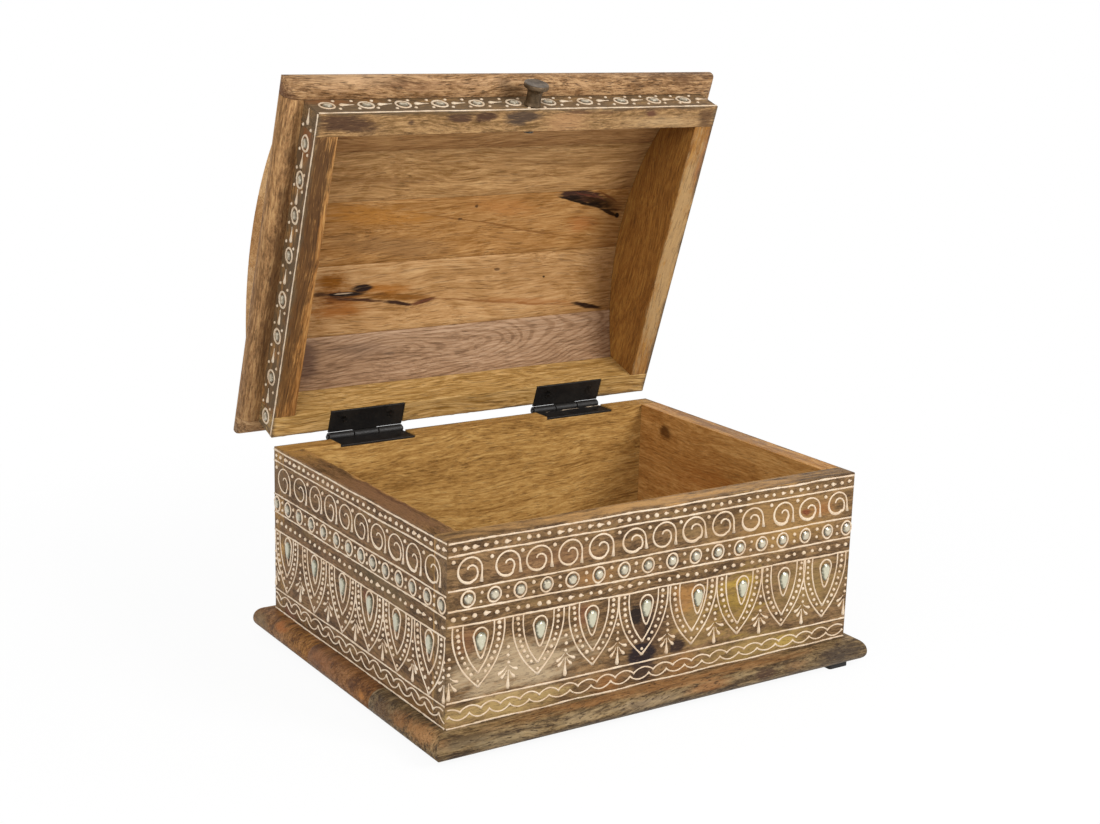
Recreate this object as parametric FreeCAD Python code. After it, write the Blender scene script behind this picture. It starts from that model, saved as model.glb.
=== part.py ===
import FreeCAD, Part
import math
import os

# A jewellery box with a vaulted lid: butted boards on a moulded base, a lid of
# glued staves behind a cornice, two butt hinges, a turned knob and inset stones.
# Millimetres, Z up. The long front looks along -Y. The origin is the middle of
# the base's underside. The lid is modelled closed and then swung open.

# Box body: the two long boards run past the two short ones
body_length = 250.0
body_depth = 189.0
wall_height = 93.0
wall_thickness = 12.5

# Base: boards glued edge to edge with a moulded rim, standing on four feet
base_thickness = 12.0
base_overhang = 9.4
base_board_count = 3
base_top_round = 7.0
base_bottom_round = 4.4
foot_width = 13.0
foot_height = 3.0
foot_corner_round = 1.5
foot_end_inset = 22.0
foot_side_inset = 22.0
stray_foot_end_inset = 16.0
stray_foot_side_inset = 11.0

# Lid: a rim of rails and end boards, a vault of staves and a cornice round the rim.
# The shares say how much of the depth each stave takes from the front; the last takes the rest.
lid_gap = 0.6
rail_height = 23.5
stave_shares = [0.198, 0.177, 0.209, 0.209]
stave_thickness = 11.5
vault_rise = 21.5
strip_height = 17.5
cornice_height = 12.0
cornice_overhang = 10.0
cornice_bottom_round = 7.0
cornice_top_round = 4.0
lid_open_angle = 71.3

# Moulded edges keep this much of their height for the two rounds together
round_share = 0.95

# Butt hinges with three knuckles each
hinge_length = 46.0
hinge_end_inset = 34.5
hinge_offset = 4.0
leaf_thickness = 1.2
leaf_inset = 0.4
leaf_recess = 0.8
knuckle_radius = 2.4
knuckle_play = 0.3
pin_radius = 1.25
pin_end = 0.8
pin_running_play = 0.05
pin_seat_play = 0.01
mortise_play = 0.3

# Wood screws with countersunk slotted heads, for the hinges and the base
hinge_screw_end_inset = 8.5
hinge_screw_head_radius = 2.4
hinge_screw_shank_radius = 1.2
hinge_screw_length = 9.0
base_screw_end_inset = 35.0
base_screw_head_radius = 3.4
base_screw_shank_radius = 1.6
base_screw_grip = 16.0
screw_slot_width = 0.6
screw_slot_depth = 0.5
screw_play = 0.05

# Punched nails that hold the butt joints
nail_radius = 0.9
nail_length = 32.0
nail_sink = 0.5
nail_edge_inset = 18.0
nail_play = 0.05

# Turned knob on the front strip, held by a screw from inside the rail
knob_offset = 3.0
knob_lift = 5.8
knob_length = 12.6
knob_head_radius = 6.8
knob_head_thickness = 2.6
knob_head_edge = 0.7
knob_stem_radius = 4.1
knob_foot_radius = 4.5
knob_foot_thickness = 1.0
knob_dish = 0.4
knob_screw_radius = 1.9
knob_screw_depth = 8.0
knob_screw_head_radius = 3.6
knob_screw_head_thickness = 2.0

# Stones: round ones in a band, drops in the lobes, ovals on the lid's strip. Each row is set
# from left to right, and leaves other room before its first stone than after its last.
round_stone_radius = 2.3
round_stone_drop = 30.5
round_stone_long_count = 17
round_stone_short_count = 14
round_stone_first_inset = 9.0
round_stone_last_inset = 3.8
drop_stone_radius = 2.8
drop_stone_tip = 6.2
drop_stone_drop = 50.5
drop_stone_long_count = 8
drop_stone_short_count = 6
drop_stone_first_inset = 17.7
drop_stone_last_inset = 16.0
oval_stone_length = 6.0
oval_stone_width = 4.4
oval_stone_long_count = 11
oval_stone_short_count = 8
oval_stone_first_inset = 8.8
oval_stone_last_inset = 20.0
stone_height = 1.2
stone_table = 0.6

# Levels and places that follow from the sizes above
half_length = body_length / 2
half_depth = body_depth / 2
inner_half_length = half_length - wall_thickness
inner_half_depth = half_depth - wall_thickness
wall_bottom = base_thickness
wall_top = wall_bottom + wall_height
lid_bottom = wall_top + lid_gap
rail_top = lid_bottom + rail_height
strip_top = lid_bottom + strip_height
leaf_top = wall_top - leaf_recess
hinge_centre = half_length - hinge_end_inset - hinge_length / 2
axis_y = half_depth + hinge_offset
axis_z = (leaf_top + lid_bottom) / 2
wall_middle_x = half_length - wall_thickness / 2
wall_middle_y = half_depth - wall_thickness / 2
vault_inner_radius = (inner_half_depth ** 2 + vault_rise ** 2) / (2 * vault_rise)
vault_outer_radius = vault_inner_radius + stave_thickness
vault_centre_z = rail_top + vault_rise - vault_inner_radius

X = FreeCAD.Vector(1, 0, 0)
Y = FreeCAD.Vector(0, 1, 0)
Z = FreeCAD.Vector(0, 0, 1)


def point(x, y, z):
    return FreeCAD.Vector(x, y, z)


def block(x, y, z):
    """A box between two values along each axis."""
    return Part.makeBox(x[1] - x[0], y[1] - y[0], z[1] - z[0], point(x[0], y[0], z[0]))


def line(start, end):
    return Part.LineSegment(start, end).toShape()


def arc(start, middle, end):
    return Part.Arc(start, middle, end).toShape()


def prism(edges, direction):
    """A closed outline pushed along a direction."""
    return Part.Face(Part.Wire(edges)).extrude(direction)


def turned(profile, place):
    """A solid of revolution about Z from radius and height pairs, moved into place."""
    corners = [point(radius, 0, height) for radius, height in profile]
    outline = Part.makePolygon(corners + corners[:1])
    solid = Part.Face(outline).revolve(point(0, 0, 0), Z, 360)
    solid.Placement = place
    return solid


def facing(origin, right, up, outward):
    """A place whose X, Y and Z lie along the given right, up and outward directions."""
    return FreeCAD.Placement(origin, FreeCAD.Rotation(right, up, outward, "ZXY"))


# Moulded boards

def moulded_outline(half, low, high, bottom_round, top_round, across):
    """The edges of a board's section, both sides rounded below and above."""
    share = min(1.0, round_share * (high - low) / (bottom_round + top_round))
    below = bottom_round * share
    above = top_round * share
    bend = 1 - math.sqrt(0.5)
    spots = [
        (half - below, low), (half - below * bend, low + below * bend), (half, low + below),
        (half, high - above), (half - above * bend, high - above * bend), (half - above, high),
    ]
    right = [across * side + Z * level for side, level in spots]
    left = [across * -side + Z * level for side, level in spots]
    return [
        line(left[0], right[0]),
        arc(right[0], right[1], right[2]),
        line(right[2], right[3]),
        arc(right[3], right[4], right[5]),
        line(right[5], left[5]),
        arc(left[5], left[4], left[3]),
        line(left[3], left[2]),
        arc(left[2], left[1], left[0]),
    ]


def moulded_board(overhang, low, high, bottom_round, top_round):
    """A board over the whole plan whose four edges are moulded and meet in mitres."""
    reach_x = half_length + overhang
    reach_y = half_depth + overhang
    along_x = prism(moulded_outline(reach_y, low, high, bottom_round, top_round, Y), X * (2 * reach_x))
    along_y = prism(moulded_outline(reach_x, low, high, bottom_round, top_round, X), Y * (2 * reach_y))
    along_x.translate(X * -reach_x)
    along_y.translate(Y * -reach_y)
    return along_x.common(along_y)


# Fasteners: each has its solid and the hole that takes it

def screw_profile(head_radius, shank_radius, length, play):
    """A countersunk screw that points along +Z with its head's top at zero."""
    head_height = head_radius - shank_radius
    return [
        (0, 0),
        (head_radius + play, 0),
        (shank_radius + play, head_height),
        (shank_radius + play, length + play),
        (0, length + play),
    ]


def screw(head_radius, shank_radius, length, place):
    solid = turned(screw_profile(head_radius, shank_radius, length, 0), FreeCAD.Placement())
    half_width = screw_slot_width / 2
    slot = block((-head_radius, head_radius), (-half_width, half_width), (0, screw_slot_depth))
    solid = solid.cut(slot)
    solid.Placement = place
    return solid


def screw_hole(head_radius, shank_radius, length, place):
    return turned(screw_profile(head_radius, shank_radius, length, screw_play), place)


def nail(place):
    """A punched nail whose head lies just under the face that it is driven through."""
    solid = Part.makeCylinder(nail_radius, nail_length, point(0, 0, nail_sink))
    solid.Placement = place
    return solid


def nail_hole(place):
    solid = Part.makeCylinder(nail_radius + nail_play, nail_sink + nail_length + nail_play)
    solid.Placement = place
    return solid


def base_screw_places():
    spots = []
    for side in (-1, 1):
        for step in (-1, 0, 1):
            x = step * (half_length - base_screw_end_inset)
            spots.append((x, side * wall_middle_y))
        spots.append((side * wall_middle_x, 0))
    return [facing(point(x, y, 0), X, Y, Z) for x, y in spots]


def corner_nail_places(levels):
    """Nails through the two long boards into the ends of the short ones."""
    places = []
    for side in (-1, 1):
        for end in (-1, 1):
            for level in levels:
                start = point(end * wall_middle_x, side * half_depth, level)
                places.append(facing(start, X, Z * side, Y * -side))
    return places


wall_nail_places = corner_nail_places((wall_bottom + nail_edge_inset, wall_top - nail_edge_inset))
rail_nail_places = corner_nail_places((lid_bottom + rail_height / 2,))


def hinge_screw_places(level, direction):
    """Two screws for each leaf, in the middle of the board that carries it."""
    places = []
    for side in (-1, 1):
        for step in (-1, 1):
            x = side * hinge_centre + step * (hinge_length / 2 - hinge_screw_end_inset)
            places.append(facing(point(x, wall_middle_y, level), X, Y * direction, Z * direction))
    return places


box_hinge_screw_places = hinge_screw_places(leaf_top, -1)
lid_hinge_screw_places = hinge_screw_places(lid_bottom, 1)


def base_screw_size():
    return base_screw_head_radius, base_screw_shank_radius, base_thickness + base_screw_grip


def hinge_screw_size():
    return hinge_screw_head_radius, hinge_screw_shank_radius, hinge_screw_length


def drilled(board, holes):
    for hole in holes:
        board = board.cut(hole)
    return board


base_screw_holes = [screw_hole(*base_screw_size(), place) for place in base_screw_places()]
box_hinge_screw_holes = [screw_hole(*hinge_screw_size(), place) for place in box_hinge_screw_places]
lid_hinge_screw_holes = [screw_hole(*hinge_screw_size(), place) for place in lid_hinge_screw_places]
wall_nail_holes = [nail_hole(place) for place in wall_nail_places]
rail_nail_holes = [nail_hole(place) for place in rail_nail_places]


# Base and feet

def base_boards():
    """The moulded base, sawn along its length into boards of one width."""
    whole = moulded_board(base_overhang, 0, base_thickness, base_bottom_round, base_top_round)
    reach_x = half_length + base_overhang
    reach_y = half_depth + base_overhang
    width = 2 * reach_y / base_board_count
    boards = {}
    for index in range(base_board_count):
        start = -reach_y + index * width
        strip = block((-reach_x, reach_x), (start, start + width), (0, base_thickness))
        board = whole.common(strip)
        boards[f"base_board_{index + 1}"] = drilled(board, base_screw_holes)
    return boards


def foot(x, y):
    """A square rubber pad with rounded corners under the base."""
    half = foot_width / 2
    pad = block((x - half, x + half), (y - half, y + half), (-foot_height, 0))
    upright = [edge for edge in pad.Edges if abs(edge.Vertexes[0].Z - edge.Vertexes[1].Z) > foot_height / 2]
    return pad.makeFillet(foot_corner_round, upright)


def feet():
    """Three feet stand well in from the edges, and the front right one strays towards its corner."""
    solids = {}
    for end, end_name in ((-1, "left"), (1, "right")):
        for side, side_name in ((-1, "front"), (1, "back")):
            stray = (end, side) == (1, -1)
            end_inset = stray_foot_end_inset if stray else foot_end_inset
            side_inset = stray_foot_side_inset if stray else foot_side_inset
            x = end * (half_length + base_overhang - end_inset)
            y = side * (half_depth + base_overhang - side_inset)
            solids[f"foot_{side_name}_{end_name}"] = foot(x, y)
    return solids


# Walls

def walls():
    levels = (wall_bottom, wall_top)
    front = block((-half_length, half_length), (-half_depth, -inner_half_depth), levels)
    back = block((-half_length, half_length), (inner_half_depth, half_depth), levels)
    left = block((-half_length, -inner_half_length), (-inner_half_depth, inner_half_depth), levels)
    right = block((inner_half_length, half_length), (-inner_half_depth, inner_half_depth), levels)
    mortise_floor = leaf_top - leaf_thickness
    for side in (-1, 1):
        back = back.cut(hinge_mortise(side, (mortise_floor, wall_top)))
    boards = {"wall_front": front, "wall_back": back, "wall_left": left, "wall_right": right}
    holes = base_screw_holes + wall_nail_holes + box_hinge_screw_holes
    return {name: drilled(board, holes) for name, board in boards.items()}


def hinge_mortise(side, levels):
    """The notch for a hinge leaf, open to the back and to the inside."""
    reach = hinge_length / 2 + mortise_play
    middle = side * hinge_centre
    return block((middle - reach, middle + reach), (inner_half_depth, half_depth), levels)


# Hinges

def knuckle(start, length, radius):
    return Part.makeCylinder(radius, length, point(start, axis_y, axis_z), X)


def hinge_leaf(side, plate_levels, own_thirds, pin_play):
    """A plate with knuckles on some thirds of its length and room for the others."""
    start = side * hinge_centre - hinge_length / 2
    third = hinge_length / 3
    plate = block((start, start + hinge_length), (inner_half_depth + leaf_inset, axis_y), plate_levels)
    for index in range(3):
        low = start + index * third
        if index not in own_thirds:
            room = knuckle(low - knuckle_play, third + 2 * knuckle_play, knuckle_radius + knuckle_play)
            plate = plate.cut(room)
    for index in own_thirds:
        low = start + index * third
        plate = plate.fuse(knuckle(low, third, knuckle_radius))
    for index in range(3):
        low = start + index * third
        if index not in own_thirds:
            ends = [low - knuckle_play, low + third]
            for end in ends:
                plate = plate.cut(knuckle(end, knuckle_play, knuckle_radius + knuckle_play))
    bore = knuckle(start - pin_end, hinge_length + 2 * pin_end, pin_radius + pin_play)
    return plate.cut(bore).removeSplitter()


def hinges():
    """The box leaves, the lid leaves and the pins, each by its name."""
    box_levels = (leaf_top - leaf_thickness, leaf_top)
    lid_levels = (lid_bottom, lid_bottom + leaf_thickness)
    box_side = {}
    lid_side = {}
    for side, name in ((-1, "left"), (1, "right")):
        box_leaf = hinge_leaf(side, box_levels, (0, 2), pin_seat_play)
        lid_leaf = hinge_leaf(side, lid_levels, (1,), pin_running_play)
        pin_start = side * hinge_centre - hinge_length / 2 - pin_end
        box_side[f"hinge_box_leaf_{name}"] = drilled(box_leaf, box_hinge_screw_holes)
        lid_side[f"hinge_lid_leaf_{name}"] = drilled(lid_leaf, lid_hinge_screw_holes)
        box_side[f"hinge_pin_{name}"] = knuckle(pin_start, hinge_length + 2 * pin_end, pin_radius)
    return box_side, lid_side


# Lid rim, cornice and vault

def rails():
    levels = (lid_bottom, rail_top)
    front = block((-half_length, half_length), (-half_depth, -inner_half_depth), levels)
    back = block((-half_length, half_length), (inner_half_depth, half_depth), levels)
    for side in (-1, 1):
        back = back.cut(hinge_mortise(side, (lid_bottom, lid_bottom + leaf_thickness)))
    front = front.cut(knob_screw_hole())
    boards = {"lid_rail_front": front, "lid_rail_back": back}
    holes = rail_nail_holes + lid_hinge_screw_holes
    return {name: drilled(board, holes) for name, board in boards.items()}


def vault_arc(half, radius, x):
    """The arc across the vault at a radius from its centre, ending at half a span each side."""
    ends = vault_centre_z + math.sqrt(radius ** 2 - half ** 2)
    crown = vault_centre_z + radius
    return point(x, half, ends), point(x, 0, crown), point(x, -half, ends)


def lid_ends():
    """The end boards between the rails, arched to the underside of the vault."""
    boards = {}
    for start, name in ((-half_length, "left"), (inner_half_length, "right")):
        back, crown, front = vault_arc(inner_half_depth, vault_inner_radius, start)
        corner_front = point(start, -inner_half_depth, lid_bottom)
        corner_back = point(start, inner_half_depth, lid_bottom)
        edges = [
            arc(back, crown, front),
            line(front, corner_front),
            line(corner_front, corner_back),
            line(corner_back, back),
        ]
        boards[f"lid_end_{name}"] = drilled(prism(edges, X * wall_thickness), rail_nail_holes)
    return boards


def staves():
    """The vault's section pushed along the lid and sawn into staves on lines through its centre."""
    inner_back, inner_crown, inner_front = vault_arc(inner_half_depth, vault_inner_radius, -half_length)
    outer_back, outer_crown, outer_front = vault_arc(half_depth, vault_outer_radius, -half_length)
    foot_back = point(-half_length, half_depth, rail_top)
    foot_front = point(-half_length, -half_depth, rail_top)
    vault = prism([
        arc(inner_back, inner_crown, inner_front),
        line(inner_front, foot_front),
        line(foot_front, outer_front),
        arc(outer_front, outer_crown, outer_back),
        line(outer_back, foot_back),
        line(foot_back, inner_back),
    ], X * body_length)
    reach = -half_depth
    seams = [-math.radians(85)]
    for share in stave_shares:
        reach = reach + share * body_depth
        seams.append(math.asin(reach / vault_inner_radius))
    seams.append(math.radians(85))
    far = 3 * vault_outer_radius
    centre = point(-half_length, 0, vault_centre_z)
    solids = {}
    for index in range(len(seams) - 1):
        sides = seams[index:index + 2]
        rays = [centre + point(0, far * math.sin(angle), far * math.cos(angle)) for angle in sides]
        edges = [line(centre, rays[0]), line(rays[0], rays[1]), line(rays[1], centre)]
        wedge = prism(edges, X * body_length)
        solids[f"stave_{index + 1}"] = vault.common(wedge)
    return solids


def cornice():
    """A moulded frame round the rim: long pieces run past the short ones."""
    ring = moulded_board(
        cornice_overhang, strip_top, strip_top + cornice_height, cornice_bottom_round, cornice_top_round)
    levels = (strip_top, strip_top + cornice_height)
    reach_x = half_length + cornice_overhang
    reach_y = half_depth + cornice_overhang
    places = {
        "front": ((-reach_x, reach_x), (-reach_y, -half_depth)),
        "back": ((-reach_x, reach_x), (half_depth, reach_y)),
        "left": ((-reach_x, -half_length), (-half_depth, half_depth)),
        "right": ((half_length, reach_x), (-half_depth, half_depth)),
    }
    return {f"cornice_{name}": ring.common(block(x, y, levels)) for name, (x, y) in places.items()}


# Knob

knob_place = facing(point(knob_offset, -half_depth, lid_bottom + knob_lift), X, Z, -Y)
knob_screw_place = facing(point(knob_offset, -inner_half_depth, lid_bottom + knob_lift), X, Z, -Y)


def knob_screw_hole():
    solid = Part.makeCylinder(knob_screw_radius + screw_play, wall_thickness)
    solid.Placement = knob_screw_place
    return solid


def knob():
    """A stem on a small foot with a broad, slightly dished head, bored for its screw."""
    head_under = knob_length - knob_head_thickness
    bore_radius = knob_screw_radius + screw_play
    profile = [
        (bore_radius, 0),
        (knob_foot_radius, 0),
        (knob_foot_radius, knob_foot_thickness),
        (knob_stem_radius, knob_foot_thickness + (knob_foot_radius - knob_stem_radius)),
        (knob_stem_radius, head_under - (knob_head_radius - knob_stem_radius) / 2),
        (knob_head_radius - knob_head_edge, head_under),
        (knob_head_radius, head_under + knob_head_edge),
        (knob_head_radius, knob_length - knob_head_edge),
        (knob_head_radius - knob_head_edge, knob_length),
        (0, knob_length - knob_dish),
        (0, knob_screw_depth),
        (bore_radius, knob_screw_depth),
    ]
    return turned(profile, knob_place)


def knob_screw():
    """A round-headed screw from inside the rail, ending in the knob's bore."""
    reach = wall_thickness + knob_screw_depth - screw_play
    profile = [
        (0, -knob_screw_head_thickness),
        (knob_screw_head_radius, -knob_screw_head_thickness),
        (knob_screw_head_radius, 0),
        (knob_screw_radius, 0),
        (knob_screw_radius, reach),
        (0, reach),
    ]
    return turned(profile, knob_screw_place)


# Stones

def round_stone():
    return Part.makeCone(round_stone_radius, round_stone_radius * stone_table, stone_height)


def drop_stone():
    """A drop with its point down, from an arc and two lines that touch it."""
    touch = math.acos(drop_stone_radius / drop_stone_tip)
    reach_x = drop_stone_radius * math.sin(touch)
    reach_y = -drop_stone_radius * math.cos(touch)
    left = point(-reach_x, reach_y, 0)
    right = point(reach_x, reach_y, 0)
    tip = point(0, -drop_stone_tip, 0)
    top = point(0, drop_stone_radius, 0)
    return prism([arc(right, top, left), line(left, tip), line(tip, right)], Z * stone_height)


def oval_stone():
    outline = Part.Ellipse(point(0, 0, 0), oval_stone_length / 2, oval_stone_width / 2).toShape()
    return prism([outline], Z * stone_height)


def faces(level):
    """The four upright faces at a height: middle, direction to the right, outward, length."""
    return {
        "front": (point(0, -half_depth, level), X, -Y, body_length),
        "back": (point(0, half_depth, level), -X, Y, body_length),
        "left": (point(-half_length, 0, level), -Y, -X, body_depth),
        "right": (point(half_length, 0, level), Y, X, body_depth),
    }


def stone_rows(name, level, make_stone, count_long, count_short, first_inset, last_inset):
    """One row of stones on each face, spread evenly between the two insets."""
    rows = {}
    for face, (middle, right, outward, length) in faces(level).items():
        count = count_long if length == body_length else count_short
        pitch = (length - first_inset - last_inset) / (count - 1)
        stones = []
        for index in range(count):
            offset = first_inset + index * pitch - length / 2
            stone = make_stone()
            stone.Placement = facing(middle + right * offset, right, Z, outward)
            stones.append(stone)
        rows[f"{name}_{face}"] = Part.Compound(stones)
    return rows


# The whole box, in two groups: what stands still and what swings with the lid

box_leaves, lid_leaves = hinges()
still = {}
still.update(base_boards())
still.update(feet())
still.update(walls())
still.update(box_leaves)
still["base_screws"] = Part.Compound([screw(*base_screw_size(), place) for place in base_screw_places()])
still["wall_nails"] = Part.Compound([nail(place) for place in wall_nail_places])
still["hinge_box_screws"] = Part.Compound(
    [screw(*hinge_screw_size(), place) for place in box_hinge_screw_places])
round_stone_level = wall_top - round_stone_drop
drop_stone_level = wall_top - drop_stone_drop
still.update(stone_rows(
    "round_stones", round_stone_level, round_stone, round_stone_long_count, round_stone_short_count,
    round_stone_first_inset, round_stone_last_inset))
still.update(stone_rows(
    "drop_stones", drop_stone_level, drop_stone, drop_stone_long_count, drop_stone_short_count,
    drop_stone_first_inset, drop_stone_last_inset))

swinging = {}
swinging.update(rails())
swinging.update(lid_ends())
swinging.update(staves())
swinging.update(cornice())
swinging.update(lid_leaves)
swinging["hinge_lid_screws"] = Part.Compound(
    [screw(*hinge_screw_size(), place) for place in lid_hinge_screw_places])
swinging["rail_nails"] = Part.Compound([nail(place) for place in rail_nail_places])
swinging["knob"] = knob()
swinging["knob_screw"] = knob_screw()
strip_middle = lid_bottom + strip_height / 2
swinging.update(stone_rows(
    "oval_stones", strip_middle, oval_stone, oval_stone_long_count, oval_stone_short_count,
    oval_stone_first_inset, oval_stone_last_inset))

for shape in swinging.values():
    shape.rotate(point(0, axis_y, axis_z), X, -lid_open_angle)

os.makedirs("parts", exist_ok=True)
for node, shape in {**still, **swinging}.items():
    shape.exportStep(f"parts/{node}.step")
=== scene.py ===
import math
import random
from collections import namedtuple

import bmesh
import bpy
from mathutils import Matrix, Vector


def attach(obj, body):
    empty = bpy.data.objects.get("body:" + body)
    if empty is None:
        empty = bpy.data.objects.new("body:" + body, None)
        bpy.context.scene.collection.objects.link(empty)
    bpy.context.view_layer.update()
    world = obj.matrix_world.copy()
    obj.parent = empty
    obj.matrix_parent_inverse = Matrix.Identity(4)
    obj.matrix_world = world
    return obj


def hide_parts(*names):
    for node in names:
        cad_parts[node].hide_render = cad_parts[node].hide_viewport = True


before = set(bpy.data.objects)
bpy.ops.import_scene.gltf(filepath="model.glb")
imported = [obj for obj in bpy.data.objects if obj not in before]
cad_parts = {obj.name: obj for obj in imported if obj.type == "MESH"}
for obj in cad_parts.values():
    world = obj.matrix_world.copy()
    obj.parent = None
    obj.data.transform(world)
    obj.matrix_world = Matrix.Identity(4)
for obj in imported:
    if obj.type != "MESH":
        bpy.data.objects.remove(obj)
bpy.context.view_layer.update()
scene = bpy.context.scene
scene.view_settings.view_transform = "Standard"

# Sizes in millimetres, as in the part's source. Pieces are modelled in millimetres, the
# lid's pieces on the closed lid, and go to metres and to the open lid when they are finished.
metre = 0.001
half_length = 125.0
half_depth = 94.5
board_thickness = 12.5
board_arris = 0.25
seam_arris = 0.25
notched_arris = 0.35
inner_length = half_length - board_thickness
inner_depth = half_depth - board_thickness
base_overhang = 9.4
base_thickness = 12.0
base_top_round = 7.0
base_bottom_round = 4.4
wall_bottom = base_thickness
wall_top = 105.0
lid_bottom = 105.6
strip_height = 17.5
strip_top = lid_bottom + strip_height
rail_top = 129.1
cornice_height = 12.0
cornice_overhang = 10.0
cornice_bottom_round = 7.0
cornice_top_round = 4.0
vault_rise = 21.5
stave_thickness = 11.5
stave_shares = (0.198, 0.177, 0.209, 0.209)
vault_inner = (inner_depth ** 2 + vault_rise ** 2) / (2 * vault_rise)
vault_outer = vault_inner + stave_thickness
vault_centre = rail_top + vault_rise - vault_inner
hinge_axis = Vector((0.0, 98.5, 104.9))
open_angle = math.radians(71.3)
hinge_centre = 67.5
hinge_length = 46.0
leaf_thickness = 1.2
leaf_top = 104.2
notch_play = 0.3
knob_middle = lid_bottom + 5.8
knob_offset = 3.0


def tone(code):
    """A colour from its six-digit code, in linear light."""
    parts = [int(code[start:start + 2], 16) / 255 for start in (0, 2, 4)]
    light = [part / 12.92 if part <= 0.04045 else ((part + 0.055) / 1.055) ** 2.4 for part in parts]
    return (*light, 1.0)


# Finishes

class Nodes:
    """A node tree that is built call by call."""

    def __init__(self, tree):
        self.tree = tree

    def add(self, kind, **settings):
        """A node whose sockets and properties are set by name; a socket as a value is linked."""
        node = self.tree.nodes.new("ShaderNode" + kind)
        for key, value in settings.items():
            if not key[0].isupper():
                setattr(node, key, value)
        for key, value in settings.items():
            if key[0].isupper():
                self.join(value, node.inputs[key.replace("_", " ")])
        return node

    def join(self, value, socket):
        if isinstance(value, bpy.types.NodeSocket):
            self.tree.links.new(value, socket)
        else:
            socket.default_value = value

    def work(self, kind, operation, values):
        node = self.add(kind, operation=operation)
        for value, socket in zip(values, node.inputs):
            self.join(value, socket)
        return node.outputs

    def sum(self, operation, *values):
        return self.work("Math", operation, values)[0]

    def plus(self, value, weight, other):
        return self.sum("MULTIPLY_ADD", value, weight, other)

    def vector(self, operation, *values):
        return self.work("VectorMath", operation, values)["Value" if operation == "LENGTH" else 0]

    def seen(self):
        """One for what the camera sees, also mirrored or through glass, and zero for bounced light."""
        path = self.add("LightPath").outputs
        mirrored = self.sum("MAXIMUM", path["Is Glossy Ray"], path["Is Transmission Ray"])
        return self.sum("MAXIMUM", path["Is Camera Ray"], mirrored)


class Finish(Nodes):
    """A material, with places and lengths in millimetres."""

    def __init__(self, name, on_lid=False):
        self.material = bpy.data.materials.new(name)
        self.material.use_nodes = True
        super().__init__(self.material.node_tree)
        self.shader = self.tree.nodes["Principled BSDF"]
        angle = open_angle if on_lid else 0.0
        self.place = self.moved(
            self.add("TexCoord").outputs["Object"], (1 / metre,) * 3, (angle, 0.0, 0.0),
            hinge_axis - Matrix.Rotation(angle, 3, "X") @ hinge_axis)

    def moved(self, vector, scale=(1, 1, 1), turn=(0, 0, 0), shift=(0, 0, 0)):
        return self.add("Mapping", Vector=vector, Scale=scale, Rotation=turn, Location=shift).outputs[0]

    def noise(self, vector, scale=1.0, detail=3.0, rough=0.55, colour=False):
        node = self.add("TexNoise", Vector=vector, Scale=scale, Detail=detail, Roughness=rough)
        return node.outputs[1 if colour else 0]

    def spread(self, value, low, high, first=0.0, last=1.0):
        """A value between two limits, brought smoothly to two others."""
        return self.add(
            "MapRange", interpolation_type="SMOOTHSTEP", Value=value,
            From_Min=low, From_Max=high, To_Min=first, To_Max=last).outputs[0]

    def mix(self, amount, first, second, blend="MIX"):
        node = self.add("Mix", data_type="RGBA", blend_type=blend)
        for value, socket in ((amount, 0), (first, 6), (second, 7)):
            self.join(value, node.inputs[socket])
        return node.outputs[2]

    def bump(self, height, depth, strength=1.0):
        """Relief of a depth in millimetres."""
        return self.add("Bump", Height=height, Distance=depth * metre, Strength=strength).outputs[0]

    def shade(self, **sockets):
        for name, value in sockets.items():
            self.join(value, self.shader.inputs[name.replace("_", " ")])
        return self.material


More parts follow.
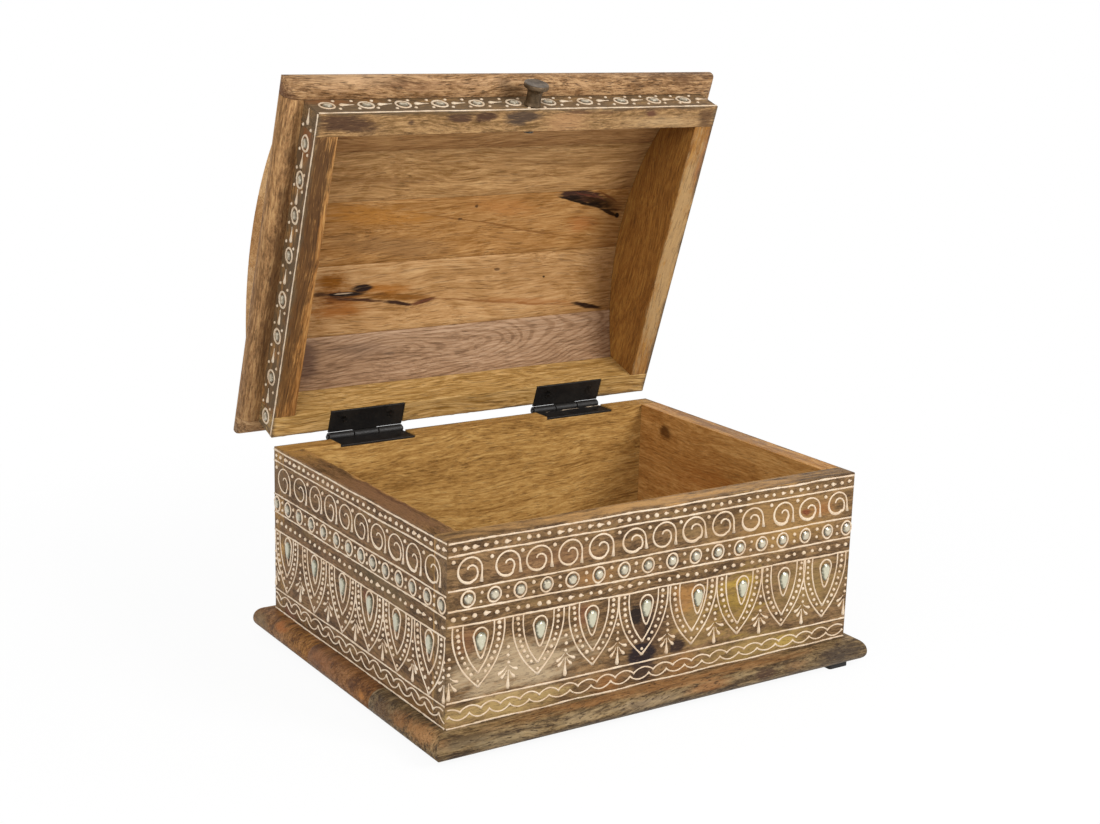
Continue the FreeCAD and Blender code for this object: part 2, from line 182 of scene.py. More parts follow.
def wood(name, dark, middle, light, on_lid=False, along="x", seed=0, grit=1.0, arches=0.04, ring=5.0,
         heart=(-260.0, 20.0, 20.0), tilt=0.2, pores=0.5, fleck_pace=0.08, mottle=(0.06, 0.22),
         stain=None, wash=None, marks=()):
    """A board of open-pored wood in three tones: streaks, fibres, flecks and pores, stains and marks."""
    finish = Finish(name, on_lid)
    draw = random.Random(seed)
    start = tuple(draw.uniform(-900, 900) for _ in range(3))
    quarter = -math.pi / 2 if along == "y" else 0.0
    straight = finish.moved(finish.place, turn=(0, 0, quarter))
    drift = finish.noise(finish.moved(straight, (0.008, 0.02, 0.02), shift=start), detail=2.0, colour=True)
    drift = finish.vector("SUBTRACT", drift, (0.5, 0.5, 0.5))
    bent = finish.vector("MULTIPLY_ADD", drift, (0.0, 22.0, 22.0), straight)

    grain = finish.moved(bent, shift=start)

    def layer(along_pace, across_pace, detail, rough):
        """Noise that is drawn out along the grain."""
        return finish.noise(finish.moved(grain, (along_pace, across_pace, across_pace)), 1.0, detail, rough)

    broad = layer(0.004, 0.05, 4.0, 0.6)
    streak = layer(0.010, 0.24, 4.0, 0.65)
    fibre = layer(0.035, 0.9, 3.0, 0.65)
    fleck = layer(fleck_pace, 0.95, 3.0, 0.75)
    blotch = layer(*mottle, 5.0, 0.7)
    speck = layer(0.75 * fleck_pace, 1.4, 2.0, 0.6)
    pits = finish.spread(speck, 0.57, 0.67)
    glints = finish.spread(speck, 0.33, 0.43, 0.5, 0.0)

    # Rings turn about a line that comes up through the board at a slant, so that they run out in arches
    rings = finish.add(
        "Mapping", vector_type="TEXTURE", Vector=bent, Location=heart, Rotation=(0.0, -tilt, 0.0)).outputs[0]
    rings = finish.add(
        "TexWave", wave_type="RINGS", rings_direction="X", Vector=rings, Scale=0.314 / ring,
        Distortion=2.4, Detail=3.0, Detail_Scale=0.5).outputs["Fac"]
    rings = finish.spread(rings, 0.0, 0.5)
    shade = finish.sum("MULTIPLY", broad, 0.34)
    for part, weight in ((streak, 0.30), (fibre, 0.34 * grit), (fleck, 0.50 * grit), (rings, arches)):
        shade = finish.plus(part, weight, shade)
    level = 0.32 + 0.42 * grit + arches * 0.75
    reach = 0.13 + arches * 0.25
    shade = finish.add("MapRange", Value=shade, From_Min=level - reach, From_Max=level + reach).outputs[0]
    tones = finish.add("ValToRGB", Fac=shade)
    stops = tones.color_ramp.elements
    stops[0].color, stops[1].color = tone(dark), tone(light)
    stops.new(0.5).color = tone(middle)
    colour = tones.outputs["Color"]

    ragged = finish.plus(finish.sum("SUBTRACT", fleck, 0.5), 0.3, blotch)
    if wash:
        colour = finish.mix(finish.spread(ragged, 0.34, 0.50, wash[1], 0.0), colour, tone(wash[0]))
    if stain:
        colour = finish.mix(finish.spread(ragged, 0.50, 0.66, 0.0, stain[1]), colour, tone(stain[0]))
    if marks:
        waver = finish.moved(finish.place, (0.03, 0.09, 0.09), shift=start)
        waver = finish.vector("SUBTRACT", finish.noise(waver, detail=4.0, colour=True), (0.5, 0.5, 0.5))
        spots = finish.vector("MULTIPLY_ADD", waver, (7.0, 5.0, 5.0), finish.place)
        rim = finish.plus(streak, 0.5, finish.plus(fibre, 0.4, ragged))
        rim = finish.sum("SUBTRACT", rim, 0.95)
        for mark in marks:
            colour = marked(finish, colour, spots, rim, *mark)
    colour = finish.mix(finish.sum("MULTIPLY", glints, pores), colour, tone(light), "SCREEN")
    colour = finish.mix(finish.sum("MULTIPLY", pits, pores), colour, tone("2c1a0c"))

    relief = finish.plus(fibre, 0.6, streak)
    relief = finish.plus(fleck, 0.5, finish.plus(pits, -0.8, relief))
    return finish.shade(
        Base_Color=colour, Roughness=finish.spread(shade, 0.0, 1.0, 0.64, 0.5),
        Normal=finish.bump(relief, 0.18, 0.8), Specular_IOR_Level=0.18)


def marked(finish, colour, spots, rim, code, middle, reach, amount, ragged, soft, turn=(0, 0, 0)):
    """A place of another colour, such as a knot, a paler streak or a painted shadow, with a ragged soft rim.
    """
    near = finish.add(
        "Mapping", vector_type="TEXTURE", Vector=spots, Location=middle, Scale=reach,
        Rotation=[math.radians(angle) for angle in turn]).outputs[0]
    away = finish.plus(rim, 3.2 * ragged, finish.vector("LENGTH", near))
    return finish.mix(finish.spread(away, 1.0 - soft, 1.0, amount, 0.0), colour, tone(code))


def clouded(name, tones, cloud, share, rough, relief, grit=None, flecks=None, **sockets):
    """Two tones that cloud into each other, with finer flecks of a third where asked."""
    finish = Finish(name)
    broad = finish.noise(finish.place, *cloud)
    fine = finish.noise(finish.place, *grit) if grit else broad
    colour = finish.mix(finish.spread(broad, *share), *map(tone, tones))
    if flecks:
        code, *limits = flecks
        colour = finish.mix(finish.spread(fine, *limits), colour, tone(code))
    return finish.shade(
        Base_Color=colour, Roughness=finish.spread(fine, *rough),
        Normal=finish.bump(fine, *relief), **sockets)


def paste_finish(name, *tones):
    """Cream paste, drawn from a cone and dried matt, a little uneven."""
    return clouded(
        name, tones, (0.08, 3.0), (0.35, 0.7), (0.2, 0.8, 0.55, 0.75), (0.10, 0.7), grit=(1.3, 3.0),
        flecks=("b0906d", 0.5, 0.74, 0.0, 0.55), Subsurface_Weight=0.05)


def iron_finish():
    """Iron under thin black paint that has worn to brown grey on its high spots."""
    return clouded(
        "black_iron", ("100d0b", "1d1915"), (0.12, 4.0), (0.4, 0.7), (0.3, 0.7, 0.40, 0.58), (0.09, 0.8),
        grit=(1.4, 3.0), flecks=("3d362e", 0.60, 0.76, 0.0, 0.6), Metallic=0.1, Specular_IOR_Level=0.4)


def stone_finish(name, pale, deep):
    """Foil-backed glass, cloudy from stone to stone, with painted reflection pale on the table and dark at
    the girdle, and painted highlights.
    """
    finish = Finish(name)
    middle = finish.add("Attribute", attribute_name="middle").outputs["Fac"]
    cloud = finish.noise(finish.place, 0.62, 2.0)
    # Painted reflection: the stone is darker towards the girdle and paler on the table, by the attribute
    # middle
    share = finish.plus(finish.sum("SUBTRACT", cloud, 0.5), 1.5, middle)
    colour = finish.mix(finish.spread(share, 0.1, 0.85), tone(deep), tone(pale))
    # Painted highlights: near-white patches where the cloud is high
    colour = finish.mix(finish.spread(cloud, 0.58, 0.72, 0.0, 0.35), colour, tone("e0d9c6"))
    return finish.shade(
        Base_Color=colour, Metallic=0.25, Roughness=finish.spread(cloud, 0.3, 0.7, 0.10, 0.26),
        Normal=finish.bump(cloud, 0.06, 0.5), Coat_Weight=0.5, Coat_Roughness=0.05)


def brass_finish():
    """Turned brass gone olive brown, with fine turning marks and rubbed places."""
    finish = Finish("aged_brass", on_lid=True)
    local = finish.moved(finish.place, shift=(-knob_offset, 0.0, -knob_middle))
    cloud = finish.noise(local, 0.28, 4.0, 0.6)
    reach = finish.vector("LENGTH", finish.vector("MULTIPLY", local, (1.0, 0.0, 1.0)))
    marks = finish.noise(finish.add("CombineXYZ", X=reach, Y=0.0, Z=0.0).outputs[0], 5.0, 2.0)
    colour = finish.mix(finish.spread(cloud, 0.35, 0.7), tone("43331f"), tone("66523a"))
    colour = finish.mix(finish.spread(cloud, 0.62, 0.8, 0.0, 0.6), colour, tone("84704f"))
    return finish.shade(
        Base_Color=colour, Metallic=0.6, Roughness=finish.spread(cloud, 0.3, 0.7, 0.46, 0.36),
        Normal=finish.bump(marks, 0.05, 0.5))


# Ways to work the pieces

def only(kind, items):
    return [item for item in items if isinstance(item, kind)]


def everything(bm):
    return [*bm.verts, *bm.edges, *bm.faces]


def ease(bm, edges, size, segments=2):
    """Rounds edges over; the new faces shade smoothly and the old ones stay flat."""
    result = bmesh.ops.bevel(
        bm, geom=list(edges), offset=size, offset_type="OFFSET", affect="EDGES",
        segments=segments, profile=0.5, material=-1, clamp_overlap=True)
    for face in result["faces"]:
        face.smooth = True


def board(x, y, z, arris):
    """A sawn board between two values along each axis, with its arrises eased."""
    bm = bmesh.new()
    bmesh.ops.create_cube(bm, size=1.0)
    spans = [high - low for low, high in (x, y, z)]
    middles = [(low + high) / 2 for low, high in (x, y, z)]
    bmesh.ops.scale(bm, vec=spans, verts=bm.verts)
    bmesh.ops.translate(bm, vec=middles, verts=bm.verts)
    if arris:
        ease(bm, bm.edges, arris)
    return bm


def cut(bm, point, outward):
    """Saws off what lies beyond a plane, closes the cut and gives its edges."""
    result = bmesh.ops.bisect_plane(
        bm, geom=everything(bm), dist=0.0001, plane_co=point, plane_no=outward, clear_outer=True)
    edges = only(bmesh.types.BMEdge, result["geom_cut"])
    bmesh.ops.holes_fill(bm, edges=edges, sides=0)
    return [edge for edge in edges if edge.is_valid]


def moulded(overhang, low, high, bottom_round, top_round):
    """A board over the whole plan with its four edges moulded below and above."""
    reach_x = half_length + overhang
    reach_y = half_depth + overhang
    bm = board((-reach_x, reach_x), (-reach_y, reach_y), (low, high), arris=0)
    for level, size, steps in ((high, top_round, 8), (low, bottom_round, 6)):
        rim = [edge for edge in bm.edges if all(abs(vert.co.z - level) < 0.01 for vert in edge.verts)]
        ease(bm, rim, size, steps)
    return bm


def sheet_of(outline):
    """A flat face through the given corners."""
    bm = bmesh.new()
    bm.faces.new([bm.verts.new(corner) for corner in outline])
    return bm


def push(bm, direction):
    """Gives a flat sheet its thickness."""
    result = bmesh.ops.extrude_face_region(bm, geom=list(bm.faces))
    bmesh.ops.translate(bm, vec=direction, verts=only(bmesh.types.BMVert, result["geom"]))
    bmesh.ops.recalc_face_normals(bm, faces=bm.faces)


def finished(name, bm, body, finish, slot, *nodes):
    """Closes a piece, brings it to its place in metres, hangs it on its body and hides the nodes it stands
    for.
    """
    bmesh.ops.remove_doubles(bm, verts=bm.verts, dist=0.0005)
    bmesh.ops.recalc_face_normals(bm, faces=bm.faces)
    if body == "lid":
        bmesh.ops.rotate(bm, cent=hinge_axis, matrix=Matrix.Rotation(-open_angle, 3, "X"), verts=bm.verts)
    bmesh.ops.scale(bm, vec=(metre,) * 3, verts=bm.verts)
    mesh = bpy.data.meshes.new(name)
    bm.to_mesh(mesh)
    bm.free()
    mesh.materials.append(finish)
    piece = bpy.data.objects.new(name, mesh)
    scene.collection.objects.link(piece)
    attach(piece, body)
    if nodes:
        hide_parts(*nodes)
    return piece


def rounded_all(bm, angle):
    """Shades a turned or drawn shape smoothly, with sharp edges where it turns a corner."""
    for face in bm.faces:
        face.smooth = True
    for edge in bm.edges:
        edge.smooth = edge.calc_face_angle(0.0) < math.radians(angle)


# Marks in the wood, and a few of painted shade and shadow. Each has a tone, a middle and a reach,
# then how strong, how ragged and how soft it is, and how far it is turned

def upright(y, deep, rows):
    """Marks on a front, each by its tone, right, up, half width and half height, and its look."""
    return tuple((code, (x, y, z), (wide, deep, tall), *look) for code, x, z, wide, tall, *look in rows)


def lying(level, tall, rows):
    """Marks on a flat side, each by its tone, right, back, half width and half depth, its look and turn."""
    return tuple(
        (code, (x, y, level), (wide, deep, tall), *look[:3], (0, 0, *(look[3:] or (0,))))
        for code, x, y, wide, deep, *look in rows)


def whole_side(code, x, y, level):
    """Another tone over a whole side of a board, up to a straight edge."""
    reach = (24.5, 2000, 400) if x else (2000, 24.5, 400)
    return code, (x, y, level), reach, 0.95, 0.05, 0.12


# Base: three boards with a moulded rim

# The front board's upper edge, along its front, and its left end; then the other boards' left ends
base_marks = (
    ("8f6238", (0, -99, 11.5), (140, 9, 2.6), 0.65, 0.45, 0.8),
) + upright(-104, 9, (
    ("56452f", -118, 9, 18, 3.4, 0.7, 0.45, 0.7),
    ("8c7a5c", -98, 5, 22, 4.2, 0.5, 0.5, 0.7),
    ("96805f", -54, 6, 15, 4.0, 0.65, 0.5, 0.7),
    ("7c6a54", -14, 6, 22, 3.4, 0.5, 0.5, 0.7),
    ("87582e", 26, 7, 19, 4.5, 0.65, 0.45, 0.8),
    ("402a1c", 63, 6.5, 9, 4.5, 0.9, 0.4, 0.6),
    ("8c6a46", 84, 7, 12, 4.0, 0.65, 0.45, 0.8),
    ("40342a", 116, 7, 22, 7.0, 0.8, 0.45, 0.7),
)) + (
    ("4d4335", (0, -106, 0.5), (160, 6, 3.6), 0.75, 0.5, 0.7),
    ("9a6e44", (-132, -86, 9), (9, 22, 6.0), 0.75, 0.45, 0.8),
    ("875b34", (-133, -66, 8), (8, 13, 6.0), 0.75, 0.45, 0.8),
    ("5a3e22", (-134, -48, 7), (8, 11, 7.0), 0.75, 0.45, 0.7),
)
base_side_marks = (
    ("5a4a34", (-136, 20, 0.5), (6, 120, 3.6), 0.75, 0.5, 0.7),
    ("a3622e", (-133, 71, 10), (8, 9, 3.0), 0.75, 0.45, 0.7),
    ("8c7450", (-134, 94, 6), (9, 12, 6.0), 0.65, 0.45, 0.8),
    ("a9713c", (-133, -27, 7), (8, 4, 3.0), 0.8, 0.4, 0.7),
    ("4c3020", (-133, -15, 8), (8, 7, 4.0), 0.7, 0.45, 0.7),
    ("8e5a32", (-133, 22, 8), (8, 22, 5.0), 0.55, 0.45, 0.8),
)


def make_base():
    mottled = dict(
        grit=2.2, pores=0.8, fleck_pace=0.3, mottle=(0.04, 0.40), marks=base_marks,
        stain=("33251a", 0.85), wash=("98825f", 0.75))
    ruddy = dict(
        grit=1.8, pores=0.5, fleck_pace=0.26, mottle=(0.035, 0.20), marks=base_side_marks,
        stain=("402616", 0.75), wash=("a0724a", 0.45))
    finishes = (
        wood("base_front_wood", "3e2e1b", "5e4a2f", "7e6745", seed=11, **mottled),
        wood("base_middle_wood", "563619", "764d2a", "91663d", seed=12, **ruddy),
        wood("base_back_wood", "5b3a1b", "80552a", "9e723d", seed=13, **ruddy),
    )
    reach_y = half_depth + base_overhang
    width = 2 * reach_y / 3
    for index, finish in enumerate(finishes):
        start = -reach_y + index * width
        bm = moulded(base_overhang, 0.0, base_thickness, base_bottom_round, base_top_round)
        edges = []
        if index > 0:
            edges += cut(bm, (0, start, 0), (0, -1, 0))
        if index < 2:
            edges += cut(bm, (0, start + width, 0), (0, 1, 0))
        ease(bm, [edge for edge in edges if edge.is_valid], seam_arris, 1)
        finished(f"base_{index + 1}", bm, "box", finish, "base_wood", f"base_board_{index + 1}")


# Walls

def notched(y, low, high, notch_floor, notch_roof):
    """A long board with two notches for the hinge leaves, in its top or its bottom edge."""
    reach = hinge_length / 2 + notch_play
    spots = (-hinge_centre - reach, -hinge_centre + reach, hinge_centre - reach, hinge_centre + reach)
    at_top = notch_roof >= high
    rim, floor = (high, notch_floor) if at_top else (low, notch_roof)
    far = low if at_top else high
    line = [(-half_length, far), (-half_length, rim)]
    for left, right in (spots[:2], spots[2:]):
        line += [(left, rim), (left, floor), (right, floor), (right, rim)]
    line += [(half_length, rim), (half_length, far)]
    bm = sheet_of([(x, y[0], z) for x, z in line])
    push(bm, (0, y[1] - y[0], 0))
    ease(bm, bm.edges, notched_arris)
    return bm


# Paler places, then the dark knots left of the middle, then the upper edge and the inside
front_marks = upright(-half_depth, 9, (
    ("aa9577", -84, 36, 54, 18, 0.85, 0.6, 0.85),
    ("a48a58", -95, 18, 56, 9, 0.8, 0.5, 0.8),
    ("87582c", -31, 18, 15, 9, 0.7, 0.5, 0.95),
    ("8b6034", 14, 18, 13, 9, 0.7, 0.5, 0.95),
    ("947a46", 64, 18, 50, 9, 0.75, 0.5, 0.8),
    ("94703f", 78, 86, 55, 20, 0.6, 0.4, 0.8),
    ("866c3f", 95, 45, 34, 20, 0.7, 0.4, 0.8),
    ("967847", 22, 40, 17, 19, 0.7, 0.55, 0.9),
    ("9e6e38", 15, 54, 11, 11, 0.65, 0.5, 0.9),
    ("92752f", 47, 47, 25, 20, 0.75, 0.55, 0.9),
    ("a8893a", 52, 56, 13, 5, 0.7, 0.5, 0.9),
    ("a88c44", 82, 19, 11, 4, 0.65, 0.5, 0.9),
    ("8e6438", -45, 75, 20, 7, 0.6, 0.5, 0.9),
    ("96743f", 80, 76, 26, 7, 0.6, 0.5, 0.9),
    ("925e30", 103, 88, 12, 6, 0.6, 0.5, 0.9),
    ("6d3519", 92, 88, 4.0, 2.8, 0.9, 0.3, 0.6),
    ("7c4e30", -114, 55, 9, 10, 0.5, 0.5, 0.95),
    ("7a4630", -48, 56, 7, 9, 0.45, 0.5, 0.95),
    ("7a5036", -70, 88, 50, 8, 0.35, 0.6, 0.95),
)) + upright(-half_depth, 12, (
    ("483220", -9, 40, 16, 23, 0.85, 0.4, 0.6),
    ("33231a", -11, 20, 10, 10, 0.93, 0.3, 0.5),
    ("1a100a", -16, 50, 5.5, 6.5, 0.97, 0.35, 0.5),
    ("26170f", -8, 41, 4.5, 13, 0.9, 0.35, 0.6),
    ("1b1013", -12.5, 29, 9.5, 7.5, 0.97, 0.2, 0.3),
    ("2a1a14", 10, 28, 6.5, 4.5, 0.95, 0.3, 0.45),
)) + (
    ("c0935c", (0, -88, 106.5), (150, 9, 4), 0.9, 0.45, 0.7),
    ("6a4529", (0, -82, 106), (150, 2.0, 4), 0.6, 0.5, 0.7),
    whole_side("a98350", 0, -60, 60),
)
left_marks = (
    ("5c4f34", (-125, -30, 66), (9, 50, 12), 0.5, 0.4, 0.9),
    ("74402c", (-125, -14, 53), (9, 4, 5), 0.6, 0.35, 0.8),
    ("80602e", (-125, -82, 90), (9, 10, 7), 0.6, 0.4, 0.8),
    ("7d5a30", (-125, -66, 15), (9, 30, 4), 0.6, 0.4, 0.8),
    ("74483a", (-125, 78, 15), (9, 14, 4), 0.55, 0.4, 0.8),
    ("78563a", (-119, -26, 106), (12, 74, 3.5), 0.88, 0.4, 0.6),
    ("4f3122", (-114, -28, 106), (3.2, 66, 4), 0.75, 0.5, 0.7),
    ("a87e45", (-119, 72, 106), (12, 24, 3.5), 0.85, 0.4, 0.8),
    whole_side("b08349", -90.5, 0, 60),
)
wall_brown = "644c34"
right_marks = (
    ("86664a", (119, 0, 106), (8, 100, 3.0), 0.8, 0.4, 0.7),
    ("a8672c", (112.5, 5, 66), (14, 60, 26), 0.5, 0.5, 0.95),
    ("40240e", (112.5, 57, 94), (14, 6.4, 4.2), 0.92, 0.3, 0.6),
    ("6e451c", (112.5, 57, 93.5), (14, 10, 6), 0.7, 0.3, 0.9),
    whole_side(wall_brown, 147, 0, 60),
)
back_marks = (
    whole_side(wall_brown, 0, 116.5, 60),
    whole_side(wall_brown, -147, 88, 60),
    whole_side(wall_brown, 147, 88, 60),
)


def make_walls():
    levels = (wall_bottom, wall_top)
    across = (-inner_depth, inner_depth)
    boards = {
        "front": board((-half_length, half_length), (-half_depth, -inner_depth), levels, board_arris),
        "left": board((-half_length, -inner_length), across, levels, board_arris),
        "right": board((inner_length, half_length), across, levels, board_arris),
        "back": notched((inner_depth, half_depth), *levels, leaf_top - leaf_thickness, wall_top),
    }
    painted = dict(grit=1.9, pores=0.35, fleck_pace=0.36, stain=("382615", 0.6), wash=("8a6e46", 0.5))
    tones = {
        "front": ("49341d", "674e31", "866744"),
        "left": ("453019", "674b2d", "815e3b"),
        "right": ("8c5c27", "b17e42", "d0a060"),
        "back": ("815a28", "aa7f43", "c79e5e"),
    }
    dressed = {
        "front": dict(seed=21, marks=front_marks, **painted),
        "left": dict(along="y", seed=22, marks=left_marks, **painted),
        "right": dict(along="y", seed=23, grit=0.9, pores=0.2, fleck_pace=0.14, marks=right_marks),
        "back": dict(seed=24, grit=1.1, pores=0.3, fleck_pace=0.15, marks=back_marks),
    }
    for name, bm in boards.items():
        finish = wood(f"{name}_wall_wood", *tones[name], **dressed[name])
        finished(f"{name}_wall", bm, "box", finish, "wall_wood", f"wall_{name}")


# Lid

# The underside, which is seen when the lid is open, then the outer side's brown and its lighter places
strip_brown = "5a4833"
rail_marks = lying(lid_bottom, 5, (
    ("ab8057", 24, -88, 19, 9, 0.6, 0.35, 0.8),
    ("4a3222", -109, -89, 24, 8, 0.94, 0.45, 0.6, 5),
    ("b8986e", 88, -86, 40, 5, 0.6, 0.4, 0.9),
    ("4a3324", -72, -88.5, 3, 1.8, 0.85, 0.3, 0.6),
    ("4c3424", -44, -91, 9, 3.2, 0.95, 0.35, 0.5),
    ("452c1d", -28, -91.3, 9, 3.2, 0.95, 0.35, 0.5),
    ("46362a", -5, -90.5, 15, 4.4, 0.95, 0.35, 0.5),
    ("5e3f28", 30, -93.2, 14, 2.2, 0.85, 0.4, 0.6),
    ("6a4a2c", 47, -92.6, 8, 2.2, 0.85, 0.4, 0.6),
    ("6b4a2a", 85, -94.2, 45, 2.2, 0.85, 0.45, 0.6),
    ("5a3726", 80, -91.2, 5, 2.4, 0.9, 0.35, 0.6),
    ("5c4026", 119, -88, 7, 10, 0.85, 0.4, 0.7),
)) + (
    whole_side(strip_brown, 0, -116.5, 114),
    whole_side(strip_brown, -147, -88, 114),
    whole_side(strip_brown, 147, -88, 114),
    ("7d522f", (-112, -95, 120), (22, 3, 6), 0.75, 0.4, 0.8),
    ("80582f", (-90, -95, 121), (12, 3, 5), 0.7, 0.4, 0.8),
)
left_end_marks = lying(lid_bottom, 8, (
    ("50351c", -125, -58, 15, 52, 0.92, 0.4, 0.4),
    ("573a1f", -125, 2, 11.4, 94, 0.88, 0.35, 0.35),
    ("664626", -122, 56, 8, 34, 0.75, 0.4, 0.8),
)) + (
    whole_side(strip_brown, -147, 0, 114),
    ("7e4c28", (-125, -78, 114), (3, 22, 9), 0.7, 0.4, 0.8),
)
right_end_marks = (
    ("ab8c60", (119, -4, 105.6), (10, 98, 2.2), 0.7, 0.5, 0.5),
    ("7a4a30", (124, -60, 105.6), (5, 30, 4), 0.65, 0.45, 0.8),
    whole_side(strip_brown, 147, 0, 114),
)
back_rail_marks = (
    whole_side(strip_brown, 0, 116.5, 114),
    whole_side(strip_brown, -147, 88, 114),
    whole_side(strip_brown, 147, 88, 114),
)


def end_board(start):
    """An upright board whose top is an arch that fits under the staves."""
    bm = bmesh.new()
    foot = bm.verts.new((start, -inner_depth, rail_top))
    half_angle = math.asin(inner_depth / vault_inner)
    bmesh.ops.spin(
        bm, geom=[foot], cent=(start, 0, vault_centre), axis=(-1, 0, 0), angle=2 * half_angle, steps=28)
    bm.verts.ensure_lookup_table()
    arch = sorted(bm.verts, key=lambda vert: vert.co.y)
    low = [bm.verts.new((start, side * inner_depth, lid_bottom)) for side in (1, -1)]
    bm.faces.new(arch + low)
    push(bm, (board_thickness, 0, 0))
    ease(bm, [edge for edge in bm.edges if edge.calc_face_angle(0.0) > 0.5], notched_arris)
    return bm


def make_rim():
    levels = (lid_bottom, rail_top)
    pieces = {
        "front_rail": board((-half_length, half_length), (-half_depth, -inner_depth), levels, board_arris),
        "back_rail": notched((inner_depth, half_depth), *levels, lid_bottom, lid_bottom + leaf_thickness),
        "left_end": end_board(-half_length),
        "right_end": end_board(inner_length),
    }
    tones = {
        "front_rail": ("694d2a", "8b6942", "a98558"),
        "back_rail": ("89642d", "ae884e", "cea86e"),
        "left_end": ("744c24", "9a6937", "b2844c"),
        "right_end": ("70471c", "8b5e2a", "a47639"),
    }
    dressed = {
        "front_rail": dict(seed=31, grit=1.6, pores=0.4, fleck_pace=0.22, marks=rail_marks),
        "back_rail": dict(seed=32, grit=1.3, marks=back_rail_marks),
        "left_end": dict(along="y", seed=33, grit=1.6, marks=left_end_marks),
        "right_end": dict(along="y", seed=34, grit=1.1, pores=0.3, fleck_pace=0.14, marks=right_end_marks),
    }
    for name, bm in pieces.items():
        side, kind = name.split("_")
        finish = wood(f"{name}_wood", *tones[name], on_lid=True, **dressed[name])
        finished(name, bm, "lid", finish, "rim_wood", f"lid_{kind}_{side}")


# Streaks and knots on the inside of the vault
stave_2_marks = lying(150, 40, (
    ("8a6238", -60, -37, 50, 2.4, 0.6, 0.4, 0.8, 3),
    ("90683c", 40, -45, 60, 2.0, 0.5, 0.4, 0.8, 4),
))
stave_3_marks = lying(150, 40, (
    ("b37a36", -60, -14, 52, 8, 0.75, 0.4, 0.8, 5),
    ("8f6a42", -45, 6, 60, 10, 0.6, 0.4, 0.8, 8),
    ("b87e44", 25, -15, 34, 7, 0.6, 0.4, 0.8, 8),
    ("a9642f", 84, -1, 14, 8, 0.55, 0.4, 0.9),
    ("7c5024", 25, -3, 90, 0.8, 0.8, 0.15, 0.7, 11.5),
    ("4a2a10", 98, -14, 19, 6.5, 0.9, 0.3, 0.8, 24),
    ("38211a", 78, -19.8, 18, 4.7, 0.97, 0.25, 0.3, 8),
    ("33200f", 92, -14.6, 16, 3.9, 0.92, 0.3, 0.5, 24),
    ("5e2f14", 97, -18.5, 13, 0.9, 0.7, 0.25, 0.6, 25),
    ("633528", 82, -20.4, 11, 0.7, 0.75, 0.2, 0.6, 14),
    ("6b4030", 90, -18.6, 8, 0.8, 0.7, 0.2, 0.6, 26),
    ("1c110a", 75, -23.7, 13, 0.9, 0.95, 0.15, 0.5),
    ("170c06", 76, -16.4, 20, 1.4, 1.0, 0.15, 0.45, 15.5),
    ("1a0f08", 90, -13.2, 9, 2.3, 1.0, 0.3, 0.5, 22),
    ("1a0f08", 73, -19.3, 6.5, 1.9, 0.95, 0.3, 0.5, 12),
    ("221308", 102, -7.6, 9, 1.3, 0.95, 0.2, 0.5, 21),
    ("170c06", 108.6, -5.2, 1.8, 2.6, 1.0, 0.2, 0.5, -25),
    ("553618", 6, -17, 1.6, 1.1, 0.85, 0.1, 0.5),
    ("4e3016", -4, -9, 1.8, 1.2, 0.9, 0.1, 0.5),
))
stave_4_marks = lying(148, 40, (
    ("9c5e18", -46, 31.5, 28, 5, 0.75, 0.35, 0.9, 6),
    ("965a20", -74, 41, 25, 7, 0.9, 0.4, 0.9),
    ("824e0c", -80, 25, 18, 8, 1.0, 0.4, 0.8),
    ("74400f", -74, 34, 24, 6.5, 0.85, 0.35, 0.8),
    ("7a4a10", -36, 36.6, 36, 3.1, 0.92, 0.25, 0.6, 6.2),
    ("7a4d24", 32, 44.5, 76, 0.8, 0.8, 0.15, 0.7, 6.7),
    ("9a6230", 55, 46, 50, 2.4, 0.6, 0.3, 0.8, 6.7),
    ("42220e", -62, 36.8, 26, 1.5, 0.97, 0.2, 0.6, 7),
    ("321a0a", -36, 40.4, 13, 1.6, 1.0, 0.2, 0.5, 9),
    ("5a301c", -19, 40.2, 13, 1.4, 0.95, 0.2, 0.6, -8),
    ("3a200c", -86, 32.2, 7, 2.2, 0.85, 0.3, 0.7),
    ("1d0f07", -70, 33.0, 17, 1.7, 1.0, 0.2, 0.5, 1),
    ("200f07", -60.5, 29.8, 8, 3.2, 1.0, 0.3, 0.5),
    ("bca488", -71, 32.6, 7, 0.55, 0.9, 0.1, 0.5),
    ("2c180b", 94, 51, 13, 1.8, 1.0, 0.2, 0.5, 10),
    ("5a3c20", 29, 25, 2.8, 1.3, 0.85, 0.2, 0.5),
    ("33200f", 62.5, 31, 1.1, 1.0, 0.95, 0.1, 0.4),
))
stave_5_marks = lying(138, 40, (
    ("644a3a", -95, 66, 12, 14, 0.9, 0.4, 0.7),
    ("80644e", -60, 64, 28, 6, 0.6, 0.45, 0.8),
    ("5c4432", -42, 68, 4.5, 1.1, 0.85, 0.2, 0.6),
))


